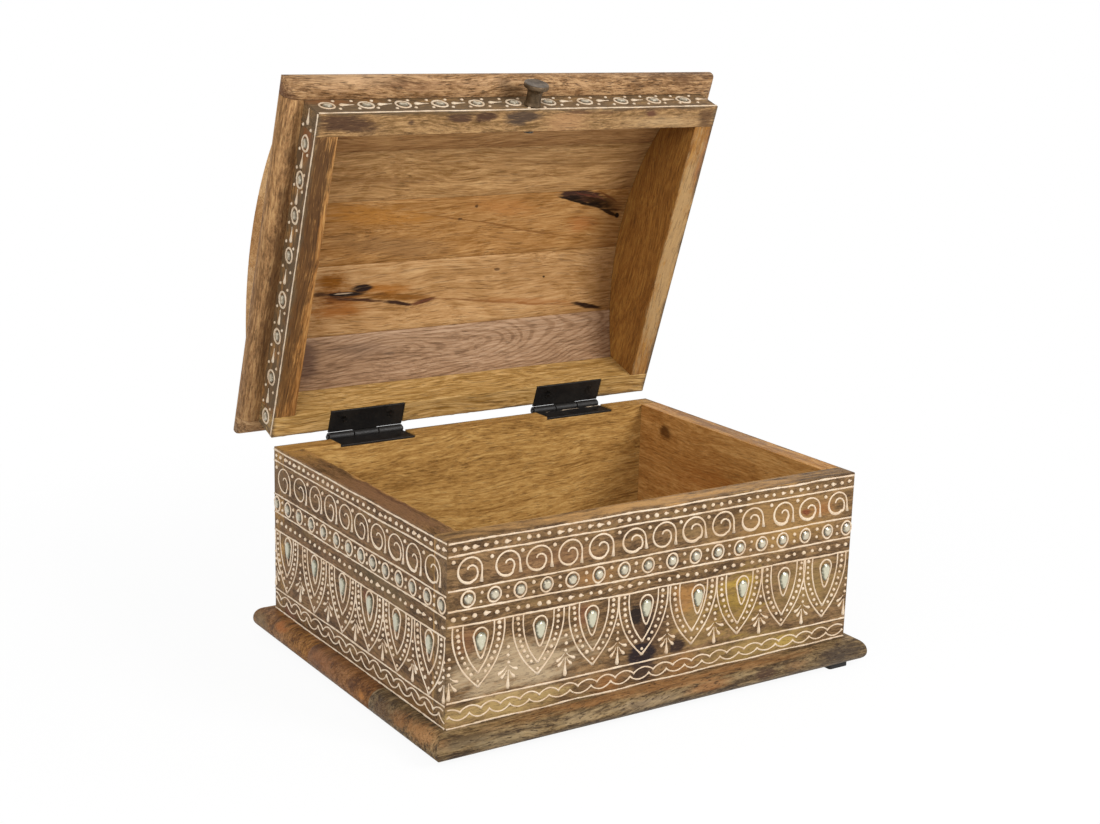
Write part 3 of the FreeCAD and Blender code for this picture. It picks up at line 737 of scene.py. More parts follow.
def make_staves():
    boards = dict(on_lid=True, grit=1.15, pores=0.34)
    finishes = (
        wood("stave_1_wood", "88603a", "a97d4e", "c59965", seed=41, **boards),
        wood("stave_2_wood", "926a3b", "b88d5a", "d4aa74", seed=45, marks=stave_2_marks, **boards),
        wood("stave_3_wood", "8c5f2b", "aa7b46", "c1955e", seed=42, marks=stave_3_marks, **boards),
        wood("stave_4_wood", "8f6636", "ad8251", "c39a69", seed=43, marks=stave_4_marks, **boards),
        wood("stave_5_wood", "795a40", "9a7859", "b49374", seed=44, arches=0.115, ring=1.9, tilt=0.17,
             heart=(-30.0, 66.0, 138.0), marks=stave_5_marks, **boards),
    )
    past_rail = math.radians(40)
    seam = -half_depth
    seams = [-past_rail]
    for share in stave_shares:
        seam += share * 2 * half_depth
        seams.append(math.asin(seam / vault_inner))
    seams.append(past_rail)
    for index, (finish, first, last) in enumerate(zip(finishes, seams, seams[1:])):
        bm = bmesh.new()
        side = [
            bm.verts.new((-half_length, reach * math.sin(first), vault_centre + reach * math.cos(first)))
            for reach in (vault_inner, vault_outer)]
        edge = bm.edges.new(side)
        bmesh.ops.spin(
            bm, geom=[*side, edge], cent=(0, 0, vault_centre), axis=(-1, 0, 0), angle=last - first, steps=10)
        push(bm, (2 * half_length, 0, 0))
        for face in bm.faces:
            face.smooth = abs(face.normal.x) < 0.5
        end = {0: -1, len(finishes) - 1: 1}.get(index)
        if end:
            cut(bm, (0, end * half_depth, 0), (0, end, 0))
            cut(bm, (0, 0, rail_top), (0, 0, -1))
        bmesh.ops.recalc_face_normals(bm, faces=bm.faces)
        ease(bm, [edge for edge in bm.edges if edge.calc_face_angle(0.0) > 0.6], seam_arris, 1)
        finished(f"vault_stave_{index + 1}", bm, "lid", finish, "stave_wood", f"stave_{index + 1}")


cornice_front_marks = (
    ("c29c74", (-95, -104, 130), (45, 9, 9), 0.8, 0.5, 0.9),
    # Painted shadow of the knob: a dark place on the moulding, left of the knob
    ("3f2a18", (-8.5, -99, 125), (7, 9, 5), 0.6, 0.3, 0.9),
    ("6a4a2e", (112, -104, 126), (9, 9, 5), 0.85, 0.4, 0.7),
    ("8f6a45", (40, -104, 130), (90, 9, 3), 0.5, 0.45, 0.9),
    ("7a5638", (-60, -104, 124), (30, 9, 3), 0.6, 0.45, 0.8),
    ("5e3c24", (-147.3, -82.2, 129), (24.5, 200, 200), 0.8, 0.1, 0.15, (0, 0, 135)),
    ("6a4a30", (147.3, -82.2, 129), (24.5, 200, 200), 0.7, 0.1, 0.15, (0, 0, 45)),
)
cornice_left_marks = (
    # Painted shade: a dark band on the moulding's underside, next to the strip
    ("5c3e22", (-127, 0, 123.5), (5, 120, 5), 0.85, 0.35, 0.6),
    ("6e4c2a", (-133, 20, 128), (4, 60, 2.0), 0.7, 0.4, 0.8),
)


def make_cornice():
    worked = dict(on_lid=True, grit=2.1, pores=0.7, fleck_pace=0.22)
    dressed = {
        "front": dict(seed=55, marks=cornice_front_marks, stain=("583b22", 0.65), wash=("b9926a", 0.6)),
        "back": dict(seed=54, stain=("6a4c30", 0.6), wash=("b8946c", 0.5)),
        "left": dict(
            seed=56, grit=1.7, pores=0.45, along="y", marks=cornice_left_marks,
            stain=("5c3e22", 0.4), wash=("a88258", 0.35)),
        "right": dict(seed=57, along="y", stain=("5c4026", 0.6), wash=("a88660", 0.5)),
    }
    tones = {
        "front": ("5d4023", "8a6540", "b08b62"),
        "back": ("674a2e", "8c6844", "a8855d"),
        "left": ("6a4b2c", "986f45", "b48c5c"),
        "right": ("644728", "8a663f", "a6835a"),
    }
    levels = (strip_top, strip_top + cornice_height)
    for name, turn in (("front", -1), ("back", 1), ("left", -1), ("right", 1)):
        bm = moulded(cornice_overhang, *levels, cornice_bottom_round, cornice_top_round)
        if name in ("front", "back"):
            edges = cut(bm, (0, turn * half_depth, 0), (0, -turn, 0))
        else:
            edges = cut(bm, (turn * half_length, 0, 0), (-turn, 0, 0))
            edges += cut(bm, (0, -half_depth, 0), (0, -1, 0))
            edges += cut(bm, (0, half_depth, 0), (0, 1, 0))
        ease(bm, [edge for edge in edges if edge.is_valid], 0.3, 1)
        finish = wood(f"cornice_{name}_wood", *tones[name], **{**worked, **dressed[name]})
        finished(f"{name}_cornice", bm, "lid", finish, "cornice_wood", f"cornice_{name}")


# Hinges and knob

plate_edge_gap = 0.4
plate_to_axis = 2.5
knuckle_radius = 2.4
knuckle_bore = 1.3
knuckle_turn = math.radians(318)
knuckle_play = 0.3


def make_leaf(name, side, on_lid, finish):
    """A plate rolled round its pin on the outer thirds (box) or the middle third (lid)."""
    start = side * hinge_centre - hinge_length / 2
    third = hinge_length / 3
    low = lid_bottom if on_lid else leaf_top - leaf_thickness
    width = (inner_depth + plate_edge_gap, hinge_axis.y - plate_to_axis)
    bm = board((start, start + hinge_length), width, (low, low + leaf_thickness), arris=0)
    for joint in (start + third, start + 2 * third):
        for spot in (joint - knuckle_play, joint + knuckle_play):
            bmesh.ops.bisect_plane(bm, geom=everything(bm), plane_co=(spot, 0, 0), plane_no=(1, 0, 0))
    rise = 1 if on_lid else -1
    for index in (1,) if on_lid else (0, 2):
        middle = start + (index + 0.5) * third
        faces = [
            face for face in bm.faces
            if abs(face.normal.y - 1) < 0.01 and abs(face.calc_center_median().x - middle) < third / 3]
        result = bmesh.ops.extrude_face_region(bm, geom=faces)
        for vert in only(bmesh.types.BMVert, result["geom"]):
            outer = (vert.co.z - low < leaf_thickness / 2) != on_lid
            vert.co.y = hinge_axis.y
            vert.co.z = hinge_axis.z + rise * (knuckle_radius if outer else knuckle_bore)
        roll = only(bmesh.types.BMFace, result["geom"])
        geometry = roll + list({edge for face in roll for edge in face.edges})
        geometry += list({vert for face in roll for vert in face.verts})
        bmesh.ops.spin(bm, geom=geometry, cent=hinge_axis, axis=(-rise, 0, 0), angle=knuckle_turn, steps=26)
    bmesh.ops.recalc_face_normals(bm, faces=bm.faces)
    ease(bm, [edge for edge in bm.edges if edge.calc_face_angle(0.0) > 0.7], 0.22)
    kind = "lid" if on_lid else "box"
    finished(name, bm, kind, finish, "black_iron", f"hinge_{kind}_leaf_{'left' if side < 0 else 'right'}")


def make_knob(finish):
    """A turned knob: a straight stem on a low foot, and a broad thin-edged head."""
    profile = (
        (0.0, 0.05), (4.3, 0.05), (4.5, 0.4), (4.45, 0.9), (4.15, 1.4), (4.05, 3.0), (4.05, 7.0),
        (4.2, 8.2), (4.9, 9.3), (6.1, 9.9), (6.65, 10.25), (6.8, 10.8), (6.8, 11.9), (6.6, 12.4),
        (6.2, 12.6), (5.6, 12.5), (3.0, 12.3), (0.0, 12.25))
    bm = bmesh.new()
    line = [bm.verts.new((radius, 0.0, height)) for radius, height in profile]
    edges = [bm.edges.new(pair) for pair in zip(line, line[1:])]
    bmesh.ops.spin(
        bm, geom=line + edges, cent=(0, 0, 0), axis=(0, 0, 1), angle=2 * math.pi, steps=48, use_merge=True)
    bmesh.ops.remove_doubles(bm, verts=bm.verts, dist=0.001)
    bmesh.ops.rotate(bm, cent=(0, 0, 0), matrix=Matrix.Rotation(math.pi / 2, 3, "X"), verts=bm.verts)
    bmesh.ops.translate(bm, vec=(knob_offset, -half_depth, knob_middle), verts=bm.verts)
    bmesh.ops.recalc_face_normals(bm, faces=bm.faces)
    rounded_all(bm, 50)
    finished("turned_knob", bm, "lid", finish, "aged_brass", "knob")


# Faces that carry stones and paste, each by the middle of its upper edge and two directions

Face = namedtuple("Face", "middle right outward length")


def face_places(level):
    faces = {}
    for name, x, y in (("front", 0, -1), ("back", 0, 1), ("left", -1, 0), ("right", 1, 0)):
        middle = Vector((x * half_length, y * half_depth, level))
        length = 2 * (half_length if y else half_depth)
        faces[name] = Face(middle, Vector((-y, x, 0)), Vector((x, y, 0)), length)
    return faces


# A face longer than this is the front or the back
long_face = 200.0

# Rows along a face: how many on a long and a short face, and the room before the first and after the last
rows = {
    "round": (17, 14, 9.0, 3.8),
    "drop": (8, 6, 17.7, 16.0),
    "lobe": (8, 6, 17.7, 16.0),
    "oval": (11, 8, 8.8, 20.0),
    "spiral": (13, 10, 12.2, 11.2),
}

# The box was decorated by eye: how far each one strays to the right of its even place
strays = {
    ("round", "front"): (2.5, 2.0, 1.5, 1.6, 1.5, 2.2, 2.4, 2.2, 2.3, 2.3, 1.8, 1.2, 0.9, 0.1, 0.9, 1.6, 0.2),
    ("round", "left"): (-5.2, -5.1, -4.6, -3.2, -2.2, -0.8, -0.3, -0.4, -1.4, -1.5, -1.5, -1.6, -0.6, -0.7),
    ("drop", "front"): (1.0, 3.4, 2.5, 4.6, 6.2, 4.3, 1.4, -0.5),
    ("drop", "left"): (-0.2, 1.7, 3.2, 2.1, -0.9, 0.5),
    ("lobe", "front"): (-0.2, 2.3, 3.6, 2.7, 3.0, 2.0, 1.1, -1.3),
    ("lobe", "left"): (-2.2, 1.0, 2.7, 1.3, -0.1, 0.3),
    ("oval", "front"): (0.1, -0.1, -1.0, -1.7, -1.5, -0.8, -1.3, 0.8, 2.8, 3.1, 2.0),
    ("oval", "left"): (-0.8, 0.8, 3.4, 2.5, 5.7, 5.8, 2.9, 0.0),
    ("spiral", "front"): (0.0, 2.1, 0.2, -0.6, -1.2, -0.9, -1.0, -1.2, -2.0, -1.1, 0.5, -0.2, 0.0),
    ("spiral", "left"): (0.8, 2.4, 2.5, 1.6, 0.7, -0.7, -1.1, -1.0, -1.9, -1.8),
}

# The seven lines on a wall: how far each is below the upper edge at its left and its right end
long_lines = ((1.3, 1.3), (7.5, 7.6), (24.6, 24.7), (34.5, 36.0), (42.2, 43.7), (80.0, 81.8), (92.6, 92.4))
short_lines = ((1.4, 1.4), (7.4, 8.0), (26.3, 26.7), (36.5, 37.3), (46.6, 47.2), (80.9, 81.3), (92.4, 92.4))


def row_places(kind, side, length):
    """Places of a row's stones, lobes or curls, to the right of the face's middle."""
    long_count, short_count, first_inset, last_inset = rows[kind]
    count = long_count if length > long_face else short_count
    pitch = (length - first_inset - last_inset) / (count - 1)
    even = [first_inset + index * pitch - length / 2 for index in range(count)]
    return [place + stray for place, stray in zip(even, strays.get((kind, side), (0.0,) * count))]


def line_level(number, right, length):
    """How far below the upper edge a wall's line runs at a place along the face."""
    first, last = (long_lines if length > long_face else short_lines)[number]
    return first + (last - first) * (0.5 + right / length)


def set_on(bm, face):
    """Moves what was made flat, right and up from the upper edge's middle, onto a face."""
    turn = Matrix((face.right, Vector((0, 0, 1)), face.outward)).transposed().to_4x4()
    bmesh.ops.transform(bm, matrix=Matrix.Translation(face.middle) @ turn, verts=bm.verts)


stone_height = 1.2
table_inset = 0.8


def cut_stone(bm, outline, spot):
    """A faceted stone from a flat outline: a low girdle, a sloping crown and a table."""
    middle = bm.verts.layers.float["middle"]
    face = bm.faces.new([bm.verts.new((x + spot[0], y + spot[1], -0.2)) for x, y in outline])
    result = bmesh.ops.extrude_face_region(bm, geom=[face])
    top = only(bmesh.types.BMFace, result["geom"])[0]
    bmesh.ops.translate(bm, vec=(0, 0, 0.2 + stone_height * 0.3), verts=top.verts)
    # The attribute middle rises from 0 at the girdle to 1 on the table; the finish paints reflection by it
    for inset, rise, share in ((table_inset, 0.5, 0.6), (table_inset * 0.6, 0.2, 1.0)):
        bmesh.ops.inset_region(
            bm, faces=[top], thickness=inset, depth=stone_height * rise, use_even_offset=True)
        for vert in top.verts:
            vert[middle] = share


def round_outline(radius, count):
    return [
        (radius * math.cos(2 * math.pi * step / count), radius * math.sin(2 * math.pi * step / count))
        for step in range(count)]


def drop_outline(radius, tip, count):
    """A drop with its narrow end down, round above and drawn out below."""
    outline = []
    for step in range(count):
        bearing = 2 * math.pi * step / count - math.pi / 2
        below = max(0.0, -math.sin(bearing))
        outline.append((
            radius * math.cos(bearing) * (1 - 0.2 * below),
            (tip if below else 1.1 * radius) * math.sin(bearing)))
    return outline


def band_level(number, right, length):
    """How far below the upper edge the middle of the band under a line runs."""
    return (line_level(number, right, length) + line_level(number + 1, right, length)) / 2


def round_level(right, length):
    return band_level(2, right, length)


def drop_level(right, length):
    return line_level(4, right, length) + (8.2 if length > long_face else 6.4)


def oval_level(right, length):
    return 7.6


def make_stones():
    glass = stone_finish("silver_green_glass", "b6b29a", "615d49")
    clear = stone_finish("silver_grey_glass", "b6ac95", "5c5443")
    dull = stone_finish("dull_silver_glass", "b3a68f", "6e624d")
    oval = [(1.08 * x, y) for x, y in round_outline(2.6, 11)]
    kinds = (
        ("round", wall_top, round_level, round_outline(2.65, 11), clear, "box"),
        ("drop", wall_top, drop_level, drop_outline(3.05, 6.2, 14), glass, "box"),
        ("oval", strip_top, oval_level, oval, dull, "lid"),
    )
    for kind, upper_edge, level, outline, finish, body in kinds:
        for side, face in face_places(upper_edge).items():
            bm = bmesh.new()
            bm.verts.layers.float.new("middle")
            for place in row_places(kind, side, face.length):
                cut_stone(bm, outline, (place, -level(place, face.length)))
            set_on(bm, face)
            finished(f"{side}_{kind}_stones", bm, body, finish, "stone", f"{kind}_stones_{side}")


# Paste ornament, drawn by hand: strokes of round paste and dots, right and down from the upper edge

# Radii of the strokes, the room at a wall line's ends, and how flat the paste dries
line_radius = 0.45
ring_radius = 0.48
tear_radius = 0.45
lobe_radius = 0.42
lobe_dot_radius = 0.97
cusp_radius = 0.75
scallop_radius = 0.39
long_curl_radius = 0.46
short_curl_radius = 0.36
end_gap = 0.5
paste_flatness = 0.8


class Paste:
    """Strokes and dots on one face. Places are (right, down) in millimetres."""

    def __init__(self, seed):
        self.draw = random.Random(seed)
        self.strokes = bpy.data.curves.new("paste_strokes", "CURVE")
        self.strokes.dimensions = "3D"
        self.strokes.bevel_depth = 1.0
        self.strokes.bevel_resolution = 1
        self.strokes.use_fill_caps = True

    def near(self, value, spread):
        return value + self.draw.uniform(-spread, spread)

    def stroke(self, path, radii, closed=False):
        spline = self.strokes.splines.new("POLY")
        spline.points.add(len(path) - 1)
        for point, (right, down), radius in zip(spline.points, path, radii):
            point.co = (right, -down, 0.0, 1.0)
            point.radius = radius
        spline.use_cyclic_u = closed

    def dot(self, right, down, radius, long=1.0, turn=0.0):
        """A round dot, drawn as a very short stroke."""
        shares = ((-1.0, 0.1), (-0.72, 0.7), (0.0, 1.0), (0.72, 0.7), (1.0, 0.1))
        reach = radius * long
        path = [(right + reach * at * math.cos(turn), down + reach * at * math.sin(turn)) for at, _ in shares]
        self.stroke(path, [radius * share for _, share in shares])

    def hand_dot(self, right, down, radius):
        """A dot as it comes from the cone, now and then pulled sideways into a small drop."""
        right, down = self.near(right, 0.5), self.near(down, 0.35)
        radius = radius * self.near(1.0, 0.16)
        self.dot(right, down, radius, self.near(1.08, 0.1), self.near(0.0, 0.4))
        if self.draw.random() < 0.4:
            tail = self.near(2.1, 0.5) * radius
            lift = self.near(0.0, 0.35)
            path = [(right + tail * step / 3, down - lift * step / 3) for step in range(4)]
            self.stroke(path, [radius * share for share in (0.8, 0.62, 0.36, 0.12)])

    def long_stroke(self, first, last, level, radius):
        """A long line, drawn in one go, wavering a little in place and thickness."""
        count = int((last - first) / 2.4)
        waves = [(self.draw.uniform(0.02, 0.16), self.draw.uniform(0, 6.28)) for _ in range(3)]
        path = []
        radii = []
        for step in range(count + 1):
            right = first + (last - first) * step / count
            sway = sum(math.sin(right * pace + phase) for pace, phase in waves) * 0.09
            path.append((right, level(right) + sway + self.near(0.0, 0.08)))
            radii.append(radius * self.near(1.0, 0.2) * self.draw.choice((1.0, 1.0, 1.0, 1.0, 0.75, 1.25)))
        radii[0] = radii[-1] = radius * 1.3
        self.stroke(path, radii)

    def drop(self, start, end, radius, bend=0.0):
        """A drop-shaped stroke: a thick bulb at its start and a thin tail at its end."""
        path = []
        radii = []
        across = (end[1] - start[1], start[0] - end[0])
        for step in range(8):
            share = step / 7
            bow = bend * math.sin(math.pi * share)
            path.append((
                start[0] + (end[0] - start[0]) * share + across[0] * bow,
                start[1] + (end[1] - start[1]) * share + across[1] * bow))
            radii.append(radius * (0.7 if step == 0 else max(0.22, 1.0 - 1.35 * max(0.0, share - 0.14))))
        self.stroke(path, radii)

    def spiral(self, right, down, wide, tall, radius):
        """A curl: up from a bulb at lower right, over the top, round below and in to a hook."""
        stations = (
            (-42, 1.38), (-26, 1.14), (-11, 1.03), (6, 1.0), (60, 1.0), (120, 1.0), (180, 1.0), (230, 0.99),
            (275, 0.95), (315, 0.78), (355, 0.58), (400, 0.44), (450, 0.33), (500, 0.24), (535, 0.2))
        turn = self.near(0.0, 5.0)
        wide, tall = wide * self.near(1.0, 0.06), tall * self.near(1.0, 0.05)
        curl = self.near(1.0, 0.2)
        heavy = self.near(0.26, 0.2)
        path = []
        radii = []
        for (angle, reach), (later, next_reach) in zip(stations, stations[1:]):
            steps = max(1, round((later - angle) / 11))
            for step in range(steps):
                share = step / steps
                at = angle + (later - angle) * share
                far = reach + (next_reach - reach) * share
                if at > 300:
                    far *= curl
                bearing = math.radians(at + turn)
                path.append((right + wide * far * math.cos(bearing), down - tall * far * math.sin(bearing)))
                bulb = 0.62 * max(0.0, 1 - (at + 42) / 22)
                full = heavy * math.exp(-((at - 255) / 70) ** 2)
                radii.append(radius + bulb + full + self.near(0.0, 0.06))
        self.stroke(path, radii)

    def ring(self, right, down, wide, tall, pinch, radius):
        """A closed ring round a stone, pinched to a point below where asked."""
        path = []
        turn = self.near(0.0, 0.3)
        for step in range(22):
            bearing = 2 * math.pi * step / 22
            below = max(0.0, -math.sin(bearing))
            x = wide * math.cos(bearing) * (1 - 0.5 * pinch * below ** 2)
            y = tall * math.sin(bearing) * (1 + pinch * below ** 3)
            path.append((right + x + turn * below, down - y))
        self.stroke(path, [radius * self.near(1.0, 0.24) for _ in path], closed=True)

    def lobe_side(self, right, top, wide, deep, side):
        """One side of a hanging lobe, from the line above to the point below."""
        path = []
        for step in range(19):
            share = step / 18
            waver = 1 + 0.015 * math.sin(9 * share)
            out = side * wide * math.cos(math.pi / 2 * share ** 1.5) * waver
            path.append((right + out, top + deep * share))
        radii = [lobe_radius * self.near(1.0, 0.2) for _ in path]
        radii[-1] = cusp_radius
        self.stroke(path, radii)

    def lobe(self, right, top, half_width, outer, inner):
        """A hanging lobe: two pointed lines with dots between them."""
        wide = half_width * self.near(1.0, 0.03)
        narrow = wide * 0.60
        for side in (-1, 1):
            self.lobe_side(right, top, wide, outer, side)
            self.lobe_side(right, top, narrow, inner, side)
            for step in range(9):
                share = (step + 0.55) / 10
                middle = (wide + narrow) / 2 * math.cos(math.pi / 2 * share ** 1.5)
                self.dot(
                    self.near(right + side * middle, 0.3), self.near(top + 0.91 * outer * share, 0.3),
                    lobe_dot_radius * self.near(1.0, 0.18))
        self.dot(right, top + 0.91 * outer, 0.84)

    def tear(self, right, down):
        """The drop-shaped ring round a drop stone, its point below."""
        path = []
        sway = self.near(0.0, 0.5)
        for step in range(27):
            share = step / 26
            bearing = math.pi * (1.5 - 2 * share)
            below = max(0.0, -math.sin(bearing))
            x = 4.0 * math.cos(bearing) * (1 - 0.3 * below)
            y = 4.4 * math.sin(bearing) if math.sin(bearing) > 0 else -11.0 * below ** 1.35
            path.append((right + x + sway * below, down - y))
        radii = [tear_radius * self.near(1.0, 0.2) for _ in path]
        radii[0] = radii[-1] = cusp_radius
        self.stroke(path, radii)

    def sprig(self, right, foot, sides=(-1, 1)):
        """A small lily that stands on the line between two lobes, with dots above it."""
        crown = foot - self.near(12.4, 0.6)
        self.drop((right, foot - 1.6), (right + self.near(0.0, 0.4), crown + 1.8), 1.12)
        for side in sides:
            self.drop((right + side * self.near(5.3, 0.5), crown + self.near(2.6, 0.8)),
                      (right + side * 0.7, crown - 0.4), 0.85, 0.08 * side)
            self.drop((right + side * self.near(3.9, 0.5), crown + self.near(6.0, 0.6)),
                      (right + side * 0.8, crown + 2.0), 0.85, 0.06 * side)
        for lift in (2.2, 5.8, 9.8):
            self.dot(self.near(right, 0.3), crown - self.near(lift, 0.3), 0.9 * self.near(1.0, 0.14))

    def scallop(self, first, last, level, pitch, rise, phase):
        """A line of arches (rise above zero) or hanging loops (below), with thick cusps between."""
        path = []
        radii = []
        steps = 10
        right = first - phase * pitch
        while right < last:
            width = pitch * self.near(1.0, 0.07)
            tall = rise * self.near(1.0, 0.14)
            for step in range(steps):
                share = step / steps
                spot = right + width * share
                if first <= spot <= last:
                    path.append((spot, level(spot) - tall * math.sin(math.pi * share) ** 0.75))
                    radii.append(scallop_radius * self.near(1.0, 0.16) + (0.34 if step == 0 else 0.0))
            right += width
        self.stroke(path, radii)

    def mesh(self):
        """Strokes and dots as one mesh, a little flatter than round."""
        holder = bpy.data.objects.new("paste_strokes", self.strokes)
        tubes = bpy.data.meshes.new_from_object(holder)
        bm = bmesh.new()
        bm.from_mesh(tubes)
        bpy.data.objects.remove(holder)
        bpy.data.curves.remove(self.strokes)
        bpy.data.meshes.remove(tubes)
        bmesh.ops.scale(bm, vec=(1, 1, paste_flatness), verts=bm.verts)
        return bm


def paint_wall(paste, side, length):
    """The scheme of one wall: seven lines and six bands from the top edge down."""
    first, last = -length / 2 + end_gap, length / 2 - end_gap
    on_long = length > long_face
    for number in range(len(long_lines)):
        paste.long_stroke(first, last, lambda right: line_level(number, right, length), line_radius)

    # Rows of dots in the first and the fourth band
    for number, pitch in ((0, 5.8), (3, 5.95)):
        count = round(length / pitch)
        for index in range(count):
            right = first + (index + 0.5) * (last - first) / count
            paste.hand_dot(right, band_level(number, right, length), 1.1)

    # Curls in the second band, each with a dot at its upper left
    tall, radius = (6.2, long_curl_radius) if on_long else (6.6, short_curl_radius)
    for place in row_places("spiral", side, length):
        level = band_level(1, place, length) - 0.4
        paste.spiral(paste.near(place, 0.3), paste.near(level, 0.3), tall + 0.5, tall, radius)
        paste.dot(paste.near(place - 9.0, 0.5), paste.near(level - tall + 0.9, 0.4), 1.05)

    # Rings round the stones in the third band, with two dots between each pair
    rounds = row_places("round", side, length)
    for place in rounds:
        pinch = paste.draw.choice((0.0, 0.05, 0.12))
        wide, high = paste.near(3.6, 0.2), paste.near(3.75, 0.2)
        paste.ring(place, round_level(place, length), wide, high, pinch, ring_radius)
    for place, later in zip(rounds, rounds[1:]):
        middle = (place + later) / 2
        for lift in (-2.1, 2.2):
            spot = (paste.near(middle, 0.4), round_level(middle, length) + paste.near(lift, 0.3))
            paste.dot(*spot, 0.92 * paste.near(1.0, 0.15))

    # Lobes in the fifth band, a ring round the stone in each, and lilies between them and at the ends
    lobes = row_places("lobe", side, length)
    for place in lobes:
        share = 0.5 + place / length
        outer, inner = (32.0 + 3.0 * share, 25.0 + 4.0 * share) if on_long else (32.6, 23.4)
        paste.lobe(place, line_level(4, place, length), 14.4, paste.near(outer, 0.5), paste.near(inner, 0.6))
    for place in row_places("drop", side, length):
        paste.tear(place, drop_level(place, length) - 1.2)
    for place, later in zip(lobes, lobes[1:]):
        middle = (place + later) / 2
        paste.sprig(middle, line_level(5, middle, length))
    for end in (-1, 1):
        right = end * (length / 2 - 1.6)
        paste.sprig(right, line_level(5, right, length), (-end,))

    # Two scalloped lines below the sixth: how far below it they run, and how high their arches rise
    pitch, upper, lower = (11.7, (5.3, 2.4), (6.5, -2.5)) if on_long else (13.2, (4.8, 2.9), (4.7, -3.8))
    for (below, rise), phase in ((upper, 0.36), (lower, 0.93)):
        paste.scallop(first, last, lambda right: line_level(5, right, length) + below, pitch, rise, phase)


def paint_strip(paste, side, length):
    """The lid's strip: a line along its lower edge, ringed ovals and drop strokes between them."""
    paste.long_stroke(-length / 2 + 0.4, length / 2 - 0.4, lambda right: strip_height - 0.9, 0.48)
    ovals = row_places("oval", side, length)
    for place in ovals:
        paste.ring(place, oval_level(place, length), paste.near(4.1, 0.25), paste.near(3.9, 0.25), 0.0, 0.58)
    for place, later in zip(ovals, ovals[1:] + [length / 2 + 8.0]):
        middle = (place + later) / 2
        by_knob = side == "front" and abs(middle - knob_offset) < 8
        if not by_knob:
            paste.drop((middle - 3.9, paste.near(7.3, 0.4)), (middle + 4.6, paste.near(6.6, 0.4)), 1.15)
        for right, level in ((-5.4, 2.4), (5.0, 2.4), (-5.4, 11.7), (5.0, 12.0)):
            if middle + right < length / 2 - 2:
                if by_knob and level > 10:
                    level = 14.7
                spot = (paste.near(middle + right, 0.4), paste.near(level, 0.3))
                paste.dot(*spot, 0.85, 1.15, paste.near(0.4, 0.3))


def make_paste():
    cream = paste_finish("cream_paste", "d5bfa4", "c5a98a")
    chalky = paste_finish("chalky_paste", "e8d3b9", "d8bd9f")
    parts = ((70, wall_top, paint_wall, "paste", "box"), (80, strip_top, paint_strip, "strip_paste", "lid"))
    for seed, level, paint, name, body in parts:
        for index, (side, face) in enumerate(face_places(level).items()):
            paste = Paste(seed + index)
            paint(paste, side, face.length)
            bm = paste.mesh()
            rounded_all(bm, 60)
            set_on(bm, face)
            finish = chalky if (side, body) == ("left", "box") else cream
            finished(f"{side}_{name}", bm, body, finish, "white_paste")


make_base()
make_walls()
make_rim()
make_staves()
make_cornice()
iron = iron_finish()
for side, name in ((-1, "left"), (1, "right")):
    make_leaf(f"box_leaf_{name}", side, False, iron)
    make_leaf(f"lid_leaf_{name}", side, True, iron)
make_knob(brass_finish())
make_stones()
make_paste()

# CAD nodes that stay take a finish of their own
steel = clouded(
    "dull_steel", ("6f6a63", "9b968d"), (0.5, 4.0), (0.35, 0.7), (0.3, 0.7, 0.35, 0.55), (0.04, 0.5),
    Metallic=0.85)
rubber = clouded(
    "black_rubber", ("0f0e0d", "1f1d1b"), (2.2, 3.0), (0.35, 0.7), (0.3, 0.7, 0.7, 0.9), (0.05, 0.6))
dark_screws = clouded(
    "dark_screws", ("24201b", "5c554b"), (0.9, 4.0), (0.35, 0.65), (0.3, 0.7, 0.4, 0.56), (0.05, 0.6),
    Metallic=0.5)
for name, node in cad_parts.items():
    if name.startswith("foot"):
        kept = rubber
    elif name.startswith("hinge_pin"):
        kept = iron
    elif name in ("hinge_box_screws", "hinge_lid_screws", "knob_screw"):
        kept = dark_screws
    else:
        kept = steel
    node.data.materials.clear()
    node.data.materials.append(kept)


# Stage: a pale floor, soft light and the camera of the photograph, in metres

floor_level = -0.003
floor_radius = 6.0
white = (1.0, 1.0, 1.0, 1.0)
box_middle = Vector((0, 0, 0.12))


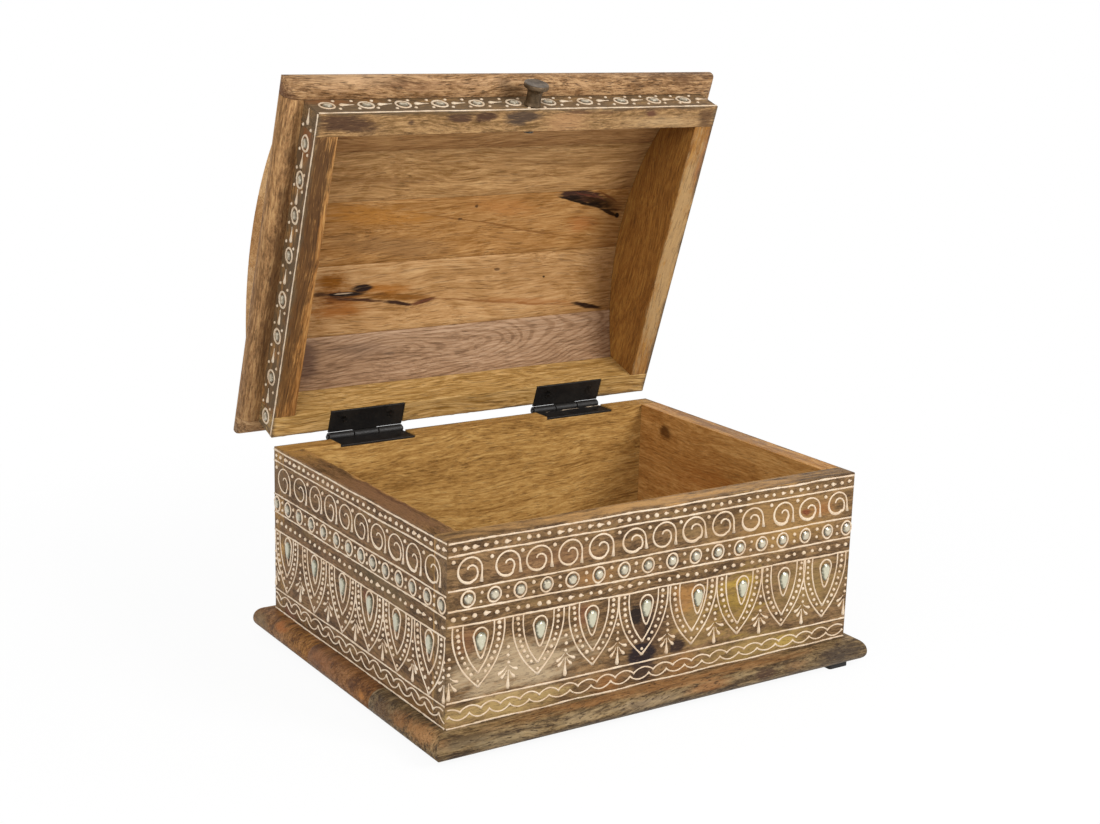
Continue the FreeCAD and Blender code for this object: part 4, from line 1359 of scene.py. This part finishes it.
def make_floor():
    bm = bmesh.new()
    bmesh.ops.create_circle(bm, cap_ends=True, segments=96, radius=floor_radius)
    bmesh.ops.translate(bm, vec=(0, 0, floor_level), verts=bm.verts)
    mesh = bpy.data.meshes.new("floor")
    bm.to_mesh(mesh)
    bm.free()
    floor = bpy.data.objects.new("floor", mesh)
    scene.collection.objects.link(floor)
    finish = Finish("pale_floor")
    finish.shade(Base_Color=(0.9, 0.9, 0.9, 1.0), Roughness=0.9, Specular_IOR_Level=0.0)
    glow = finish.add("Emission", Color=white, Strength=1.0)
    far = finish.spread(finish.vector("LENGTH", finish.place), 200.0, 520.0, 0.93, 1.0)
    blend = finish.add("MixShader", Fac=finish.sum("MULTIPLY", finish.seen(), far))
    finish.join(finish.shader.outputs[0], blend.inputs[1])
    finish.join(glow.outputs[0], blend.inputs[2])
    finish.join(blend.outputs[0], finish.tree.nodes["Material Output"].inputs["Surface"])
    mesh.materials.append(finish.material)


def make_lamp(name, place, size, power):
    """A soft square lamp that looks at the middle of the box."""
    lamp = bpy.data.lights.new(name, "AREA")
    lamp.size = size
    lamp.energy = power
    holder = bpy.data.objects.new(name, lamp)
    holder.location = place
    holder.rotation_euler = (box_middle - Vector(place)).to_track_quat("-Z", "Y").to_euler()
    scene.collection.objects.link(holder)


def make_world():
    """White all round, dimmer as a light than it looks."""
    world = bpy.data.worlds.new("studio")
    world.use_nodes = True
    nodes = Nodes(world.node_tree)
    strength = nodes.add("MapRange", Value=nodes.seen(), To_Min=0.6, To_Max=1.0).outputs[0]
    background = world.node_tree.nodes["Background"]
    nodes.join(white, background.inputs["Color"])
    nodes.join(strength, background.inputs["Strength"])
    scene.world = world


def make_camera():
    """The camera that was fitted to the photograph."""
    azimuth, elevation, roll = (math.radians(angle) for angle in (-33.5344, 13.8856, 1.6386))
    away, to_left, rise = 0.9671, 0.006975, 0.115475
    flat = math.cos(elevation)
    back = Vector((math.sin(azimuth) * flat, -math.cos(azimuth) * flat, math.sin(elevation)))
    right = Vector((math.cos(azimuth), math.sin(azimuth), 0))
    up = back.cross(right)
    place = Vector((0, 0, base_thickness * metre)) + back * away - right * to_left + up * rise
    side = right * math.cos(roll) + up * math.sin(roll)
    top = up * math.cos(roll) - right * math.sin(roll)
    camera = bpy.data.objects.new("camera", bpy.data.cameras.new("camera"))
    camera.data.lens = 57.47
    camera.data.sensor_width = 36.0
    camera.data.sensor_fit = "HORIZONTAL"
    camera.matrix_world = Matrix.Translation(place) @ Matrix((side, top, back)).transposed().to_4x4()
    scene.collection.objects.link(camera)
    scene.camera = camera


make_floor()
make_world()
make_lamp("key", (0.55, -1.25, 0.9), 0.5, 14.5)
make_lamp("fill", (-1.1, -0.95, 1.0), 1.0, 13.0)
make_camera()

bpy.context.view_layer.update()
